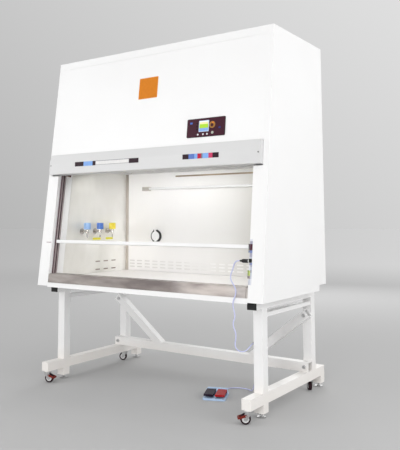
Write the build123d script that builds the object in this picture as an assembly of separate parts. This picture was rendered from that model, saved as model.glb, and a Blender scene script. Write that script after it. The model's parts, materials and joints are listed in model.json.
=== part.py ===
"""Class II biosafety cabinet on a mobile tube stand, with its foot switch.

Millimetres, +Z up, the front faces -Y and +X is to the right of someone at the cabinet.
The origin is on the floor, at the middle of the stand's footprint.
"""

import os
from math import atan2, cos, radians, sin, tan

from build123d import *

# ---------------------------------------------------------------- driving dimensions
cabinet_width = 1500.0
cabinet_depth = 765.0
cabinet_bottom = 553.0
cabinet_top = 1925.0
front_setback = 162.0  # the top front edge stands this far behind the bottom one
sheet = 2.0  # all painted and stainless sheet
seam = 0.3  # gap between neighbouring sheets and seated pieces

pillar_width = 82.0
plenum_step_depth = 94.0  # the rear plenum ends higher than the base, over this depth
plenum_step_height = 32.0
lip_depth = 118.0  # inner return of the side panel, behind the front face
lip_width = 15.0

front_panel_inset = 30.0
front_panel_bottom = 1332.0
front_panel_top = 1880.0
front_panel_return = 20.0
header_bottom = 1211.0
header_crease = 1278.0
header_top = 1330.0
header_bulge = 34.0
header_edge_bulge = 29.0
control_panel_width = 234.0
control_panel_height = 100.0
control_panel_left = 263.0
control_panel_bottom = 1371.0
control_panel_thickness = 4.0
window_left = 76.0
window_width = 58.0
window_bottom = 28.0
window_top_inset = 12.0
window_floor = 3.0

chamber_ceiling = 1250.0
work_height = 600.0
liner = 1.5
rear_plenum_gap = 38.5
slot_rows = 3
slot_columns = 20
slot_length = 44.0
slot_height = 8.0
slot_row_first = 26.0  # above the work surface
slot_row_pitch = 20.0
side_slot_columns = 3
side_slot_rows = 2
side_slot_back = 440.0
side_slot_pitch = 78.0
side_slot_first = 21.0
side_slot_row_pitch = 51.0
corner_return = 22.0  # the side walls are folded along the rear wall
diffuser_columns = 14
diffuser_rows = 5
diffuser_web_x = 16.0
diffuser_web_y = 22.0
diffuser_fold = 24.0
grille_top = 623.0
grille_depth = 97.0
grille_flat = 70.0
apron_height = 50.0
grille_slots = 22
grille_slot_width = 8.0

tube = 50.0
tube_wall = 2.5
leg_inset = 62.5  # from the side panel's face to the leg's face
front_leg_back = 140.0  # leg centre behind the cabinet's front edge
rear_leg_back = 720.0
foot_bar_length = 876.0
foot_bar_overhang = 11.0  # the foot bars start in front of the cabinet
foot_bar_bottom = 65.0
rail_height = 40.0
rail_front_back = 55.0
tie_width = 40.0
tie_height = 20.0
tie_top = 490.0
stub_bottom = 22.0
brace_face = 45.0
brace_foot = 344.0
brace_bolt_height = 415.0
brace_end = 22.0
bolt_radius = 5.0
bolt_clearance = 0.5
bolt_head = 17.0
bolt_head_height = 6.5
washer_radius = 10.0
washer_thickness = 2.0
cap_plate = 4.0
cap_insert = 12.0

pad_radius = 22.5
pad_thickness = 6.0
foot_stem_radius = 6.0
foot_stem_top = 52.0
foot_fit = 0.05

wheel_radius = 25.0
wheel_width = 20.0
axle_radius = 4.0
running_fit = 0.05
caster_trail = 14.0
cheek = 2.5
cheek_gap = 1.0
crown_gap = 2.5
crown_thickness = 3.0
race_radius = 19.0
race_height = 4.0
kingpin_radius = 5.0
kingpin_reach = 8.0
front_caster_inset = 20.0
caster_turns = {"front_left": 20.0, "front_right": 215.0, "rear_left": 200.0, "rear_right": 125.0}
brake_pivot_radius = 3.0
brake_pivot_height = 40.0
brake_pivot_x = 12.0
brake_arm = 2.5
brake_gap = 4.0
brake_plate = 8.0

sash_depth = 41.0  # glass centre plane behind the front face
glass = 6.0
glass_engagement = 6.0  # how far the glass reaches into each guide
rail_end_gap = 6.0
sash_opening = 182.0  # from the grille to the sash at rest
sash_rail_height = 19.0
sash_rail_front = 22.0
sash_rail_rear = 49.0
glass_bite = 10.0
glass_top = 1440.0
guide_width = 10.0
guide_front = 25.0
guide_rear = 57.0
guide_top = 1860.0
guide_clearance = 1.0
belt_depth = 80.0
belt_width = 10.0
belt_thickness = 2.0
belt_inset = 26.0  # belt centre inside the pillar's inner face
pulley_radius = 14.0
pulley_width = 15.0
shaft_radius = 6.0
idler_height = 1243.0
drive_height = 1800.0
bracket_thickness = 8.0
bracket_reach = 100.0
bracket_height = 56.0
motor_length = 60.0
motor_size = 54.0
motor_boss = 12.0

filter_side_gap = 58.0
filter_depth = 500.0
filter_height = 70.0
filter_front_gap = 12.0
filter_frame = 20.0
pleats = 30
pleat_sheet = 4.0
plenum_height = 78.0
exhaust_width = 620.0
exhaust_depth = 380.0
exhaust_height = 110.0
exhaust_back_gap = 30.0
exhaust_slots = 12
exhaust_rows = 3

blower_back = 465.0
blower_height = 1570.0
blower_wheel_radius = 105.0
blower_blade_depth = 22.0
blower_blades = 28
blower_wheel_width = 180.0
blower_housing_width = 206.0
blower_inlet_radius = 86.0
scroll_start = 122.0
scroll_step = 14.0
blower_shaft_radius = 8.0

uv_height = 1146.0
uv_half_length = 450.0
tube_radius = 8.0
holder_length = 55.0
holder_height = 26.0
holder_depth = 30.0
light_end_gap = 53.0
light_front_gap = 30.0

socket_x = -405.0
socket_height = 832.0
socket_radius = 41.5
socket_thickness = 10.0
socket_bore = 26.0
socket_lid_radius = 32.0
socket_lid_thickness = 5.0
socket_hinge_rise = 6.0  # hinge axis above the lid's edge, so that the disc swings clear
socket_pin_radius = 2.0
socket_recess = 2.0

tap_back = 287.0
tap_pitch = 120.0
tap_count = 3
tap_height = 868.0
tap_reach = 46.0
tap_pipe_radius = 7.0
tap_body_radius = 10.0
tap_body_height = 24.0
tap_spindle_radius = 4.0
tap_knob_radius = 22.0
tap_knob_height = 40.0
tap_knob_flutes = 8

jack_height = 745.0
jack_depth = 11.0
jack_radius = 9.5
plug_radius = 9.0
plug_length = 36.0
relief_length = 12.0
relief_radius = 5.0
service_panel_thickness = 1.5
service_panel_bottom = 632.0
service_panel_top = 850.0
service_panel_front = 3.0
service_panel_rear = 23.0

drain_x = 420.0
drain_back = 520.0
drain_radius = 12.0
drain_length = 22.0

foot_switch_x = 303.0
foot_switch_back = 310.0
foot_switch_turn = 21.5
foot_switch_width = 120.0
foot_switch_depth = 150.0
foot_switch_plate = 10.0
foot_switch_rear = 34.0
pedal_width = 50.0
pedal_length = 108.0
pedal_thickness = 8.0
pedal_pin_height = 24.0
pedal_pin_radius = 3.0

cord_diameter = 6.0

# ---------------------------------------------------------------- the shared frame
half_width = cabinet_width / 2
chamber_half = half_width - pillar_width
guide_half = chamber_half - guide_width
front_panel_width = cabinet_width - 2 * front_panel_inset
glass_width = 2 * (guide_half + glass_engagement)
sash_rail_width = 2 * (guide_half - rail_end_gap)
filter_width = 2 * (chamber_half - filter_side_gap)
light_half_length = chamber_half - holder_length - light_end_gap
cheek_inner = wheel_width / 2 + cheek_gap
brake_half = cheek_inner + cheek + seam + brake_arm
brake_inner = caster_trail + wheel_radius + brake_gap
brake_outer = brake_inner + brake_plate
front_turn = radians(caster_turns["front_right"])
front_reach = -front_caster_inset - brake_outer * sin(front_turn) - brake_half * cos(front_turn)
footprint = foot_bar_length + front_reach  # the front brake pedals stand in front of the bars
bar_rear = footprint / 2
bar_front = bar_rear - foot_bar_length
cabinet_front = bar_front + foot_bar_overhang
cabinet_rear = cabinet_front + cabinet_depth
lean = atan2(front_setback, cabinet_top - cabinet_bottom)
front_frame = Plane(
    origin=(0, cabinet_front, cabinet_bottom),
    x_dir=(1, 0, 0),
    z_dir=(0, -cos(lean), sin(lean)),
).location
leg_outer = half_width - leg_inset
leg_inner = leg_outer - tube
leg_x = leg_outer - tube / 2
rear_wall = cabinet_rear - rear_plenum_gap - liner  # front face of the rear liner
step_y = cabinet_rear - plenum_step_depth
step_z = cabinet_bottom + plenum_step_height


def front_y(z, behind=0.0):
    """Y of the leaning front face at a height, or of a plane that far behind it."""
    return cabinet_front + (z - cabinet_bottom) * tan(lean) + behind / cos(lean)


def up_front(z):
    """Distance up the leaning front face from the bottom edge to a height."""
    return (z - cabinet_bottom) / cos(lean)


def block(x0, x1, y0, y1, z0, z1):
    """A box between two corners."""
    return Pos((x0 + x1) / 2, (y0 + y1) / 2, (z0 + z1) / 2) * Box(x1 - x0, y1 - y0, z1 - z0)


def front_block(x0, x1, z0, z1, behind0, behind1):
    """A box laid on the leaning front face, between two depths behind it."""
    v0, v1 = up_front(z0), up_front(z1)
    middle = Pos((x0 + x1) / 2, (v0 + v1) / 2, -(behind0 + behind1) / 2)
    return front_frame * middle * Box(x1 - x0, v1 - v0, behind1 - behind0)


def rod_x(radius, x0, x1, y, z):
    """A round rod along X."""
    return Pos((x0 + x1) / 2, y, z) * Rot(0, 90, 0) * Cylinder(radius, x1 - x0)


def rod_y(radius, y0, y1, x, z):
    """A round rod along Y."""
    return Pos(x, (y0 + y1) / 2, z) * Rot(90, 0, 0) * Cylinder(radius, y1 - y0)


def rod_z(radius, z0, z1, x, y):
    """A round rod along Z."""
    return Pos(x, y, (z0 + z1) / 2) * Cylinder(radius, z1 - z0)


def extrude_x(points, x0, x1):
    """A closed outline of (y, z) points, extruded along X."""
    outline = Plane.YZ * Polyline(*points, close=True)
    return Pos(x0, 0, 0) * extrude(make_face(outline), x1 - x0, dir=(1, 0, 0))


def sheet_x(points, radius, thickness, x0, x1):
    """A bent sheet: an open run of (y, z) points with bends of one radius, along X."""
    bend = FilletPolyline(*points, radius=radius)
    return Pos(x0, 0, 0) * extrude(make_face(Plane.YZ * offset(bend, thickness, side=Side.LEFT)),
                                   x1 - x0, dir=(1, 0, 0))


def along_x(radius, x0, x1, height):
    """A rod across the front, on a pulley axis at a height up the leaning face."""
    place = front_frame * Pos((x0 + x1) / 2, up_front(height), -belt_depth) * Rot(0, 90, 0)
    return place * Cylinder(radius, x1 - x0)


def mirrored(shape):
    """The same piece on the other side of the cabinet."""
    return mirror(shape, Plane.YZ)


nodes = {}


def node(name, *solids):
    """Keeps the solids of one named piece, or of one group of identical pieces."""
    nodes[name] = solids[0] if len(solids) == 1 else Compound(children=list(solids))


# ---------------------------------------------------------------- stand
front_leg_y = cabinet_front + front_leg_back
rear_leg_y = cabinet_front + rear_leg_back
foot_bar_top = foot_bar_bottom + tube
rail_bottom = cabinet_bottom - rail_height
rail_front = cabinet_front + rail_front_back
rear_stub_y = bar_rear - tube / 2
front_caster_y = bar_front + front_caster_inset
beam_rear = rear_leg_y - tube / 2
beam_front = beam_rear - tube
beam_top = foot_bar_top + tube
brace_front = beam_rear - brace_face
caster_ys = {"front": front_caster_y, "rear": rear_leg_y}
foot_ys = {"front": front_leg_y, "rear": rear_stub_y}
bolt_places = [
    (side * leg_x, beam_front, foot_bar_top + tube / 2) for side in (-1, 1)
] + [(side * leg_x, brace_front, brace_bolt_height) for side in (-1, 1)]


def upright(y, z0, z1, inset=0.0):
    """A leg or stub of square tube, or the hollow inside it."""
    half = tube / 2 - inset
    return block(leg_x - half, leg_x + half, y - half, y + half, z0, z1)


def side_frame():
    """Right side frame: two legs, foot bar, top rail, tie rail and caster bosses."""
    wall = tube_wall
    frame = block(leg_inner, leg_outer, bar_front, bar_rear, foot_bar_bottom, foot_bar_top)
    frame += upright(front_leg_y, stub_bottom, rail_bottom)
    frame += upright(rear_leg_y, foot_bar_top, rail_bottom)
    frame += upright(rear_stub_y, stub_bottom, foot_bar_bottom)
    frame += block(leg_inner, leg_outer, rail_front, rear_leg_y + tube / 2, rail_bottom, cabinet_bottom)
    frame += block(leg_x - tie_width / 2, leg_x + tie_width / 2, front_leg_y, rear_leg_y,
                   tie_top - tie_height, tie_top)
    frame -= block(leg_inner + wall, leg_outer - wall, bar_front + wall, bar_rear - wall,
                   foot_bar_bottom + wall, foot_bar_top - wall)
    frame -= block(leg_inner + wall, leg_outer - wall, rail_front, rear_leg_y + tube / 2,
                   rail_bottom + wall, cabinet_bottom - wall)
    for leg_y in (front_leg_y, rear_leg_y):
        frame -= upright(leg_y, foot_bar_top, tie_top - tie_height, wall)
    for stub_y in foot_ys.values():
        frame -= upright(stub_y, stub_bottom + wall, foot_bar_bottom, wall)
        frame -= rod_z(foot_stem_radius + foot_fit, stub_bottom, stub_bottom + wall, leg_x, stub_y)
    for caster_y in caster_ys.values():
        frame += rod_z(race_radius, foot_bar_bottom - race_height, foot_bar_bottom, leg_x, caster_y)
        frame -= rod_z(kingpin_radius + running_fit, foot_bar_bottom - race_height,
                       foot_bar_bottom + wall, leg_x, caster_y)
    for _, y, z in bolt_places:
        frame -= rod_y(bolt_radius + bolt_clearance, beam_rear, beam_rear + wall, leg_x, z)
    return frame


def rear_brace():
    """Rear frame: a beam on the foot bars and two diagonals up to the rear legs."""
    frame = block(-leg_outer, leg_outer, beam_front, beam_rear, foot_bar_top, beam_top)
    frame -= block(-leg_outer, leg_outer, beam_front + tube_wall, beam_rear - tube_wall,
                   foot_bar_top + tube_wall, beam_top - tube_wall)
    rise = atan2(brace_bolt_height - beam_top, leg_x - brace_foot)
    across = brace_face / 2 / sin(rise)
    end_x = leg_x + brace_end * cos(rise)
    end_z = brace_bolt_height + brace_end * sin(rise)
    for hollow in (0.0, tube_wall):
        spread = across - hollow / sin(rise)
        half = brace_face / 2 - hollow
        outline = Polyline(
            (brace_foot - spread, beam_top),
            (brace_foot + spread, beam_top),
            (end_x + half * sin(rise), end_z - half * cos(rise)),
            (end_x - half * sin(rise), end_z + half * cos(rise)),
            close=True,
        )
        diagonal = extrude(make_face(Plane.XZ * outline), brace_face - 2 * hollow, dir=(0, -1, 0))
        diagonal = Pos(0, beam_rear - hollow, 0) * diagonal
        pair = diagonal + mirrored(diagonal)
        frame = frame - pair if hollow else frame + pair
    for x, y, z in bolt_places:
        frame -= rod_y(bolt_radius + bolt_clearance, y, beam_rear, x, z)
    return frame


def stand_bolt(x, y, z):
    """A hexagon bolt and washer that holds the rear frame to a leg."""
    hexagon = extrude(RegularPolygon(bolt_head / 2, 6, major_radius=False), bolt_head_height)
    washer = Pos(0, 0, -washer_thickness / 2) * Cylinder(washer_radius, washer_thickness)
    length = beam_rear + tube_wall + 4 - y + washer_thickness
    shank = Pos(0, 0, -length / 2) * Cylinder(bolt_radius, length)
    return Pos(x, y - washer_thickness, z) * Rot(90, 0, 0) * (hexagon + washer + shank)


def rail_cap():
    """The plastic plug in the front end of a top rail."""
    plate = block(leg_inner, leg_outer, rail_front - cap_plate, rail_front, rail_bottom, cabinet_bottom)
    plate = fillet(plate.edges().filter_by(Axis.Z).group_by(Axis.Y)[0], 2)
    wall = tube_wall + 0.2
    insert = block(leg_inner + wall, leg_outer - wall, rail_front, rail_front + cap_insert,
                   rail_bottom + wall, cabinet_bottom - wall)
    hollow = block(leg_inner + wall + 3, leg_outer - wall - 3, rail_front, rail_front + cap_insert,
                   rail_bottom + wall + 3, cabinet_bottom - wall - 3)
    return plate + (insert - hollow)


right_frame = side_frame()
node("stand_side_frame_right", right_frame)
node("stand_side_frame_left", mirrored(right_frame))
node("rear_brace_frame", rear_brace())
node("stand_bolts", *[stand_bolt(*place) for place in bolt_places])
node("rail_end_caps", rail_cap(), mirrored(rail_cap()))


# ---------------------------------------------------------------- levelling feet and casters
def levelling_foot(x, y):
    """A rubber-soled pad on a threaded stem."""
    profile = Polyline(
        (0, 0), (pad_radius - 1.5, 0), (pad_radius, 1.5), (pad_radius, pad_thickness - 2),
        (foot_stem_radius + 4, pad_thickness), (foot_stem_radius, pad_thickness),
        (foot_stem_radius, foot_stem_top - 1), (foot_stem_radius - 1, foot_stem_top), (0, foot_stem_top),
        close=True,
    )
    return Pos(x, y, 0) * revolve(make_face(Plane.XZ * profile), Axis.Z)


crown_bottom = 2 * wheel_radius + crown_gap
crown_top = crown_bottom + crown_thickness


def caster_place(corner):
    """Where a caster's swivel axis stands on the floor, turned to its trail."""
    row, side = corner.split("_")
    x = leg_x if side == "right" else -leg_x
    return Pos(x, caster_ys[row], 0) * Rot(0, 0, caster_turns[corner])


def caster_fork():
    """Fork with its axle, crown, lower race and kingpin, trailing along +X."""
    cheek_outline = Polyline(
        (-race_radius + 4, crown_top), (race_radius - 2, crown_top), (caster_trail + 9, wheel_radius - 4),
        (caster_trail + 4, wheel_radius - 9), (caster_trail - 4, wheel_radius - 9),
        (caster_trail - 9, wheel_radius - 2), close=True,
    )
    cheek_plate = extrude(make_face(Plane.XZ * cheek_outline), cheek, dir=(0, 1, 0))
    fork = Pos(0, cheek_inner, 0) * cheek_plate + Pos(0, -cheek_inner - cheek, 0) * cheek_plate
    fork += rod_z(race_radius, crown_bottom, crown_top, 0, 0)
    race_top = foot_bar_bottom - race_height - seam
    fork += rod_z(race_radius - 3, crown_top, race_top, 0, 0)
    fork += rod_z(kingpin_radius, race_top, foot_bar_bottom + kingpin_reach, 0, 0)
    half_axle = cheek_inner + cheek + 2
    fork += rod_y(axle_radius, -half_axle, half_axle, caster_trail, wheel_radius)
    for y0, y1 in ((-brake_half - 1, -cheek_inner), (cheek_inner, brake_half + 1)):
        fork += rod_y(brake_pivot_radius, y0, y1, brake_pivot_x, brake_pivot_height)
    return fork


def caster_wheel():
    """A wheel with a dished hub and a rounded tyre."""
    half = wheel_width / 2
    bore = axle_radius + running_fit
    profile = Polyline(
        (bore, half), (bore + 5, half), (bore + 6, half - 3), (wheel_radius - 8, half - 3),
        (wheel_radius - 7, half), (wheel_radius - 3, half), (wheel_radius, half - 4),
        (wheel_radius, 4 - half), (wheel_radius - 3, -half), (wheel_radius - 7, -half),
        (wheel_radius - 8, 3 - half), (bore + 6, 3 - half), (bore + 5, -half), (bore, -half),
        close=True,
    )
    wheel = revolve(make_face(Plane.XZ * profile), Axis.Z)
    return Pos(caster_trail, 0, wheel_radius) * Rot(90, 0, 0) * wheel


for corner in caster_turns:
    row, side = corner.split("_")
    x = leg_x if side == "right" else -leg_x
    node(f"levelling_foot_{corner}", levelling_foot(x, foot_ys[row]))
    node(f"caster_fork_{corner}", caster_place(corner) * caster_fork())
    node(f"caster_wheel_{corner}", caster_place(corner) * caster_wheel())


def caster_brake():
    """Brake pedal: two arms outside the fork's cheeks and a tread behind the tyre."""
    tread_z = wheel_radius + 5
    arm_outline = Polyline(
        (brake_pivot_x - 6, brake_pivot_height - 2), (brake_pivot_x - 2, brake_pivot_height + 6),
        (brake_pivot_x + 5, brake_pivot_height + 5), (brake_outer, tread_z + 4),
        (brake_outer, tread_z - 4), (brake_inner, tread_z - 4),
        (brake_pivot_x + 5, brake_pivot_height - 6), close=True,
    )
    arm = extrude(make_face(Plane.XZ * arm_outline), brake_arm, dir=(0, 1, 0))
    arm_inner = brake_half - brake_arm
    pedal = Pos(0, arm_inner, 0) * arm + Pos(0, -brake_half, 0) * arm
    pedal += block(brake_inner, brake_outer, -arm_inner, arm_inner, tread_z - 4, tread_z + 4)
    pivot = brake_pivot_radius + running_fit
    return pedal - rod_y(pivot, -brake_half, brake_half, brake_pivot_x, brake_pivot_height)


for side in ("left", "right"):
    node(f"caster_brake_front_{side}", caster_place(f"front_{side}") * caster_brake())


# ---------------------------------------------------------------- painted cabinet
rebate = front_panel_return + seam


def side_outline(inset, lip=0.0):
    """The side's outline as (y, z) points, drawn in by a sheet, the front edge by a lip more."""
    bottom, top = cabinet_bottom + inset, cabinet_top - inset
    rear = cabinet_rear - inset
    behind = inset + lip
    return [
        (front_y(bottom, behind), bottom), (front_y(top, behind), top), (rear, top),
        (rear, step_z + inset), (step_y - inset, step_z + inset), (step_y - inset, bottom),
    ]


def side_panel():
    """Right side: a folded steel tray that is also the front pillar, open to the chamber."""
    panel = extrude_x(side_outline(0), chamber_half, half_width)
    panel -= extrude_x(side_outline(sheet), chamber_half + sheet, half_width - sheet)
    panel -= extrude_x(side_outline(lip_width, lip_depth - lip_width), chamber_half, chamber_half + sheet)
    panel -= front_block(chamber_half, front_panel_width / 2 + seam, header_bottom - 6,
                         front_panel_top + seam, -1, rebate)
    return panel - along_x(motor_boss + 1, chamber_half, chamber_half + sheet, drive_height)


def front_panel():
    """The big upper front cover, a shallow tray flush with the pillars."""
    half = front_panel_width / 2
    panel = front_block(-half, half, front_panel_bottom, front_panel_top, 0, front_panel_return)
    panel = fillet(panel.edges().filter_by(Axis.X).group_by(Axis.Y)[0], 1.5)
    top, bottom = front_panel_top - sheet, front_panel_bottom + sheet
    return panel - front_block(sheet - half, half - sheet, bottom, top, sheet, rebate)


def header_cover():
    """The grey bumper below the front panel: two planes that meet in a long crease."""
    outer = [
        (header_edge_bulge, header_bottom), (header_bulge, header_crease),
        (header_edge_bulge - 3, header_top), (-front_panel_return, header_top),
        (-front_panel_return, header_bottom),
    ]
    half = front_panel_width / 2
    points = [(up_front(z), proud) for proud, z in outer]
    shell = extrude(make_face(Plane.YZ * Polyline(*points, close=True)), front_panel_width, dir=(1, 0, 0))
    core_points = [
        (up_front(header_bottom + sheet), header_edge_bulge - sheet),
        (up_front(header_crease), header_bulge - sheet),
        (up_front(header_top - sheet), header_edge_bulge - 3 - sheet),
        (up_front(header_top - sheet), -rebate), (up_front(header_bottom + sheet), -rebate),
    ]
    core = extrude(make_face(Plane.YZ * Polyline(*core_points, close=True)),
                   front_panel_width - 2 * sheet, dir=(1, 0, 0))
    return front_frame * (Pos(-half, 0, 0) * shell - Pos(sheet - half, 0, 0) * core)


def control_panel():
    """Bezel of the membrane keypad and display, with a shallow window."""
    left, bottom = control_panel_left, control_panel_bottom
    right, top = left + control_panel_width, bottom + control_panel_height
    bezel = front_block(left, right, bottom, top, -control_panel_thickness, 0)
    bezel = fillet(bezel.edges().filter_by(lambda edge: abs(edge.length - control_panel_thickness) < 0.1), 6)
    window = front_block(left + window_left, left + window_left + window_width, bottom + window_bottom,
                         top - window_top_inset, -control_panel_thickness, -window_floor)
    return bezel - window


def top_panel():
    """Roof with a front fascia and the slotted exhaust outlet."""
    half = chamber_half - seam
    under, fascia_bottom = cabinet_top - sheet, front_panel_top + 2 * seam
    points = [
        (front_y(fascia_bottom), fascia_bottom), (front_y(cabinet_top), cabinet_top),
        (cabinet_rear, cabinet_top), (cabinet_rear, under), (front_y(under, sheet), under),
        (front_y(fascia_bottom, sheet), fascia_bottom),
    ]
    roof = extrude_x(points, -half, half)
    pitch_x = exhaust_width / exhaust_slots
    pitch_y = exhaust_depth / exhaust_rows
    for column in range(exhaust_slots):
        for row in range(exhaust_rows):
            x = -exhaust_width / 2 + (column + 0.5) * pitch_x
            y = exhaust_front + (row + 0.5) * pitch_y
            roof -= Pos(x, y, cabinet_top - sheet / 2) * Box(pitch_x / 3, pitch_y - 24, 2 * sheet)
    return roof


def rear_panel():
    """Back sheet, folded under the rear plenum as far as the base pan."""
    half = chamber_half - seam
    top = cabinet_top - sheet - seam
    back = block(-half, half, cabinet_rear - sheet, cabinet_rear, step_z, top)
    floor = block(-half, half, step_y + seam, cabinet_rear, step_z, step_z + sheet)
    return back + floor


exhaust_rear = cabinet_rear - exhaust_back_gap - sheet
exhaust_front = exhaust_rear - exhaust_depth
right_side = side_panel()
node("side_panel_right", right_side)
node("side_panel_left", mirrored(right_side))
node("front_panel", front_panel())
node("header_cover", header_cover())
node("control_panel", control_panel())
node("top_panel", top_panel())
node("rear_panel", rear_panel())


# ---------------------------------------------------------------- stainless chamber
pan_half = chamber_half - seam
pan_rear = step_y
ledge = 12.0
work_sheet = 1.5
tray_gap = 1.0
skirt_height = 12.0


def base_pan():
    """Base tray under the work surface, with a front flange and side ledges."""
    top, floor = work_height - work_sheet, cabinet_bottom + sheet
    inner = [
        (front_y(floor, sheet), floor), (pan_rear - sheet, floor),
        (pan_rear - sheet, top + 1), (front_y(top + 1, sheet), top + 1),
    ]
    outer = [
        (front_y(cabinet_bottom), cabinet_bottom), (pan_rear, cabinet_bottom), (pan_rear, top - sheet),
        (work_front, top - sheet), (front_y(apron_bottom - seam), apron_bottom - seam),
    ]
    pan = extrude_x(outer, -pan_half, pan_half)
    pan -= extrude_x(inner, sheet - pan_half, pan_half - sheet)
    pan -= block(ledge - pan_half, pan_half - ledge, pan_rear - sheet, pan_rear, step_z, top)
    flange = front_block(-pan_half, pan_half, cabinet_bottom - 6, apron_bottom - seam, 0, sheet)
    for x0, x1 in ((-pan_half, ledge - pan_half), (pan_half - ledge, pan_half)):
        pan += block(x0, x1, work_front, pan_rear, top - sheet, top)
    drain = rod_z(drain_radius + foot_fit, cabinet_bottom, cabinet_bottom + sheet, drain_x, drain_y)
    return pan + flange - drain


def work_surface():
    """Lift-out stainless tray, with its edges folded down, clear of the walls and their folds."""
    half = chamber_half - liner - tray_gap
    rear = rear_wall - seam - liner - tray_gap
    top = block(-half, half, work_front, rear, work_height - work_sheet, work_height)
    skirt = block(-half + ledge, half - ledge, work_front, rear, work_height - skirt_height, work_height)
    skirt -= block(work_sheet - half + ledge, half - ledge - work_sheet, work_front + work_sheet,
                   rear - work_sheet, work_height - skirt_height, work_height)
    return top + skirt


def front_grille():
    """Armrest and intake grille: one bent sheet from the apron over to the work surface."""
    half = guide_half - seam
    proud = -0.5
    points = [
        (front_y(apron_bottom, proud), apron_bottom), (front_y(grille_top, proud), grille_top),
        (cabinet_front + grille_flat, grille_top), (work_front - seam - liner, work_height - 2),
    ]
    grille = sheet_x(points, 8.0, -liner, -half, half)
    pitch = 2 * half / grille_slots
    slot_y = cabinet_front + grille_flat
    for column in range(grille_slots):
        x = -half + (column + 0.5) * pitch
        grille -= Pos(x, slot_y - 30, grille_top) * Box(pitch - 14, grille_slot_width, 12)
        grille -= Pos(x, slot_y - 14, grille_top) * Box(pitch - 14, grille_slot_width, 12)
    return grille


def rear_liner():
    """Rear wall with rows of return-air slots above the work surface."""
    half = chamber_half - liner - seam
    wall = block(-half, half, rear_wall, rear_wall + liner, work_height + 0.5, chamber_ceiling)
    span = half - corner_return
    pitch = 2 * span / slot_columns
    for row in range(slot_rows):
        for column in range(slot_columns):
            x = -span + (column + 0.5) * pitch
            z = work_height + slot_row_first + row * slot_row_pitch
            wall -= Pos(x, rear_wall + liner / 2, z) * Box(slot_length, 3 * liner, slot_height)
    return wall


def side_liner():
    """Right chamber wall behind the sash guide, folded along the rear wall."""
    bottom, top = work_height + 0.5, chamber_ceiling
    points = [
        (front_y(bottom, lip_depth - 1), bottom), (front_y(top, lip_depth - 1), top),
        (rear_wall + liner, top), (rear_wall + liner, bottom),
    ]
    fold = block(chamber_half - liner - corner_return, chamber_half - liner, rear_wall - seam - liner,
                 rear_wall - seam, bottom, top - seam)
    wall = extrude_x(points, chamber_half - liner, chamber_half) + fold
    for row in range(side_slot_rows):
        for column in range(side_slot_columns):
            y = cabinet_front + side_slot_back + column * side_slot_pitch
            z = work_height + side_slot_first + row * side_slot_row_pitch
            wall -= Pos(chamber_half - liner / 2, y, z) * Box(3 * liner, slot_length, slot_height)
    return wall


apron_bottom = grille_top - apron_height
work_front = cabinet_front + grille_depth
drain_y = cabinet_front + drain_back
right_liner = side_liner()
node("base_pan", base_pan())
node("work_surface", work_surface())
node("front_grille", front_grille())
node("rear_wall_liner", rear_liner())
node("side_wall_liner_right", right_liner)
node("side_wall_liner_left", mirrored(right_liner))


def drain_plug():
    """Threaded drain spout with a hexagon plug under the base pan."""
    spout = rod_z(drain_radius, cabinet_bottom - drain_length, cabinet_bottom + sheet, 0, 0)
    spout -= rod_z(drain_radius - 3, cabinet_bottom - drain_length + 8, cabinet_bottom + sheet, 0, 0)
    collar = rod_z(drain_radius + 5, cabinet_bottom - 4, cabinet_bottom, 0, 0)
    hexagon = extrude(RegularPolygon(drain_radius + 3, 6), 10)
    plug = Pos(0, 0, cabinet_bottom - drain_length - 8) * hexagon
    return Pos(drain_x, drain_y, 0) * (spout + collar + plug)


node("drain_plug", drain_plug())


# ---------------------------------------------------------------- sash and its drive
belt_x = chamber_half - belt_inset
bracket_inner = chamber_half - bracket_thickness
glass_bottom = grille_top + sash_opening + glass_bite
rail_z = grille_top + sash_opening
belt_front = belt_depth - pulley_radius - belt_thickness - seam
closed_belt_gap = 0.3


def sash_guide():
    """Black guide channel on the right pillar, with brackets for the belt pulleys."""
    guide = front_block(guide_half, chamber_half, work_height, guide_top, guide_front, guide_rear)
    slot = glass / 2 + guide_clearance
    guide -= front_block(guide_half, glass_width / 2 + guide_clearance, work_height, guide_top,
                         sash_depth - slot, sash_depth + slot)
    for height in (idler_height, drive_height):
        middle = front_frame * Pos(bracket_inner, up_front(height), -belt_depth)
        plate = front_block(bracket_inner, chamber_half, height - bracket_height / 2,
                            height + bracket_height / 2, guide_rear, bracket_reach)
        bore = Rot(0, 90, 0) * Cylinder(shaft_radius + running_fit, 4 * bracket_thickness)
        guide += plate - middle * bore
    return guide


def pulley(height):
    """Right-hand belt pulley with two flanges."""
    x0, x1 = belt_x - pulley_width / 2, belt_x + pulley_width / 2
    rim = along_x(pulley_radius, x0, x1, height)
    flange = (pulley_width - belt_width) / 2 - 1
    for a, b in ((x0, x0 + flange), (x1 - flange, x1)):
        rim += along_x(pulley_radius + belt_thickness, a, b, height)
    return rim


def idler():
    """Lower pulley on its stub axle."""
    return pulley(idler_height) + along_x(shaft_radius, belt_x, chamber_half - seam, idler_height)


def belt():
    """One closed toothed belt, drawn flat, round both pulleys."""
    v0, v1 = up_front(idler_height), up_front(drive_height)
    inner = pulley_radius + seam
    outer = inner + belt_thickness
    middle = Pos(0, (v0 + v1) / 2, 0)
    loop = SlotCenterToCenter(v1 - v0, 2 * outer) - SlotCenterToCenter(v1 - v0, 2 * inner)
    flat = extrude(loop, belt_width)
    standing = Rot(0, -90, 0) * Rot(0, 0, 90) * flat
    return front_frame * Pos(belt_x + belt_width / 2, (v0 + v1) / 2, -belt_depth) * standing


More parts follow.
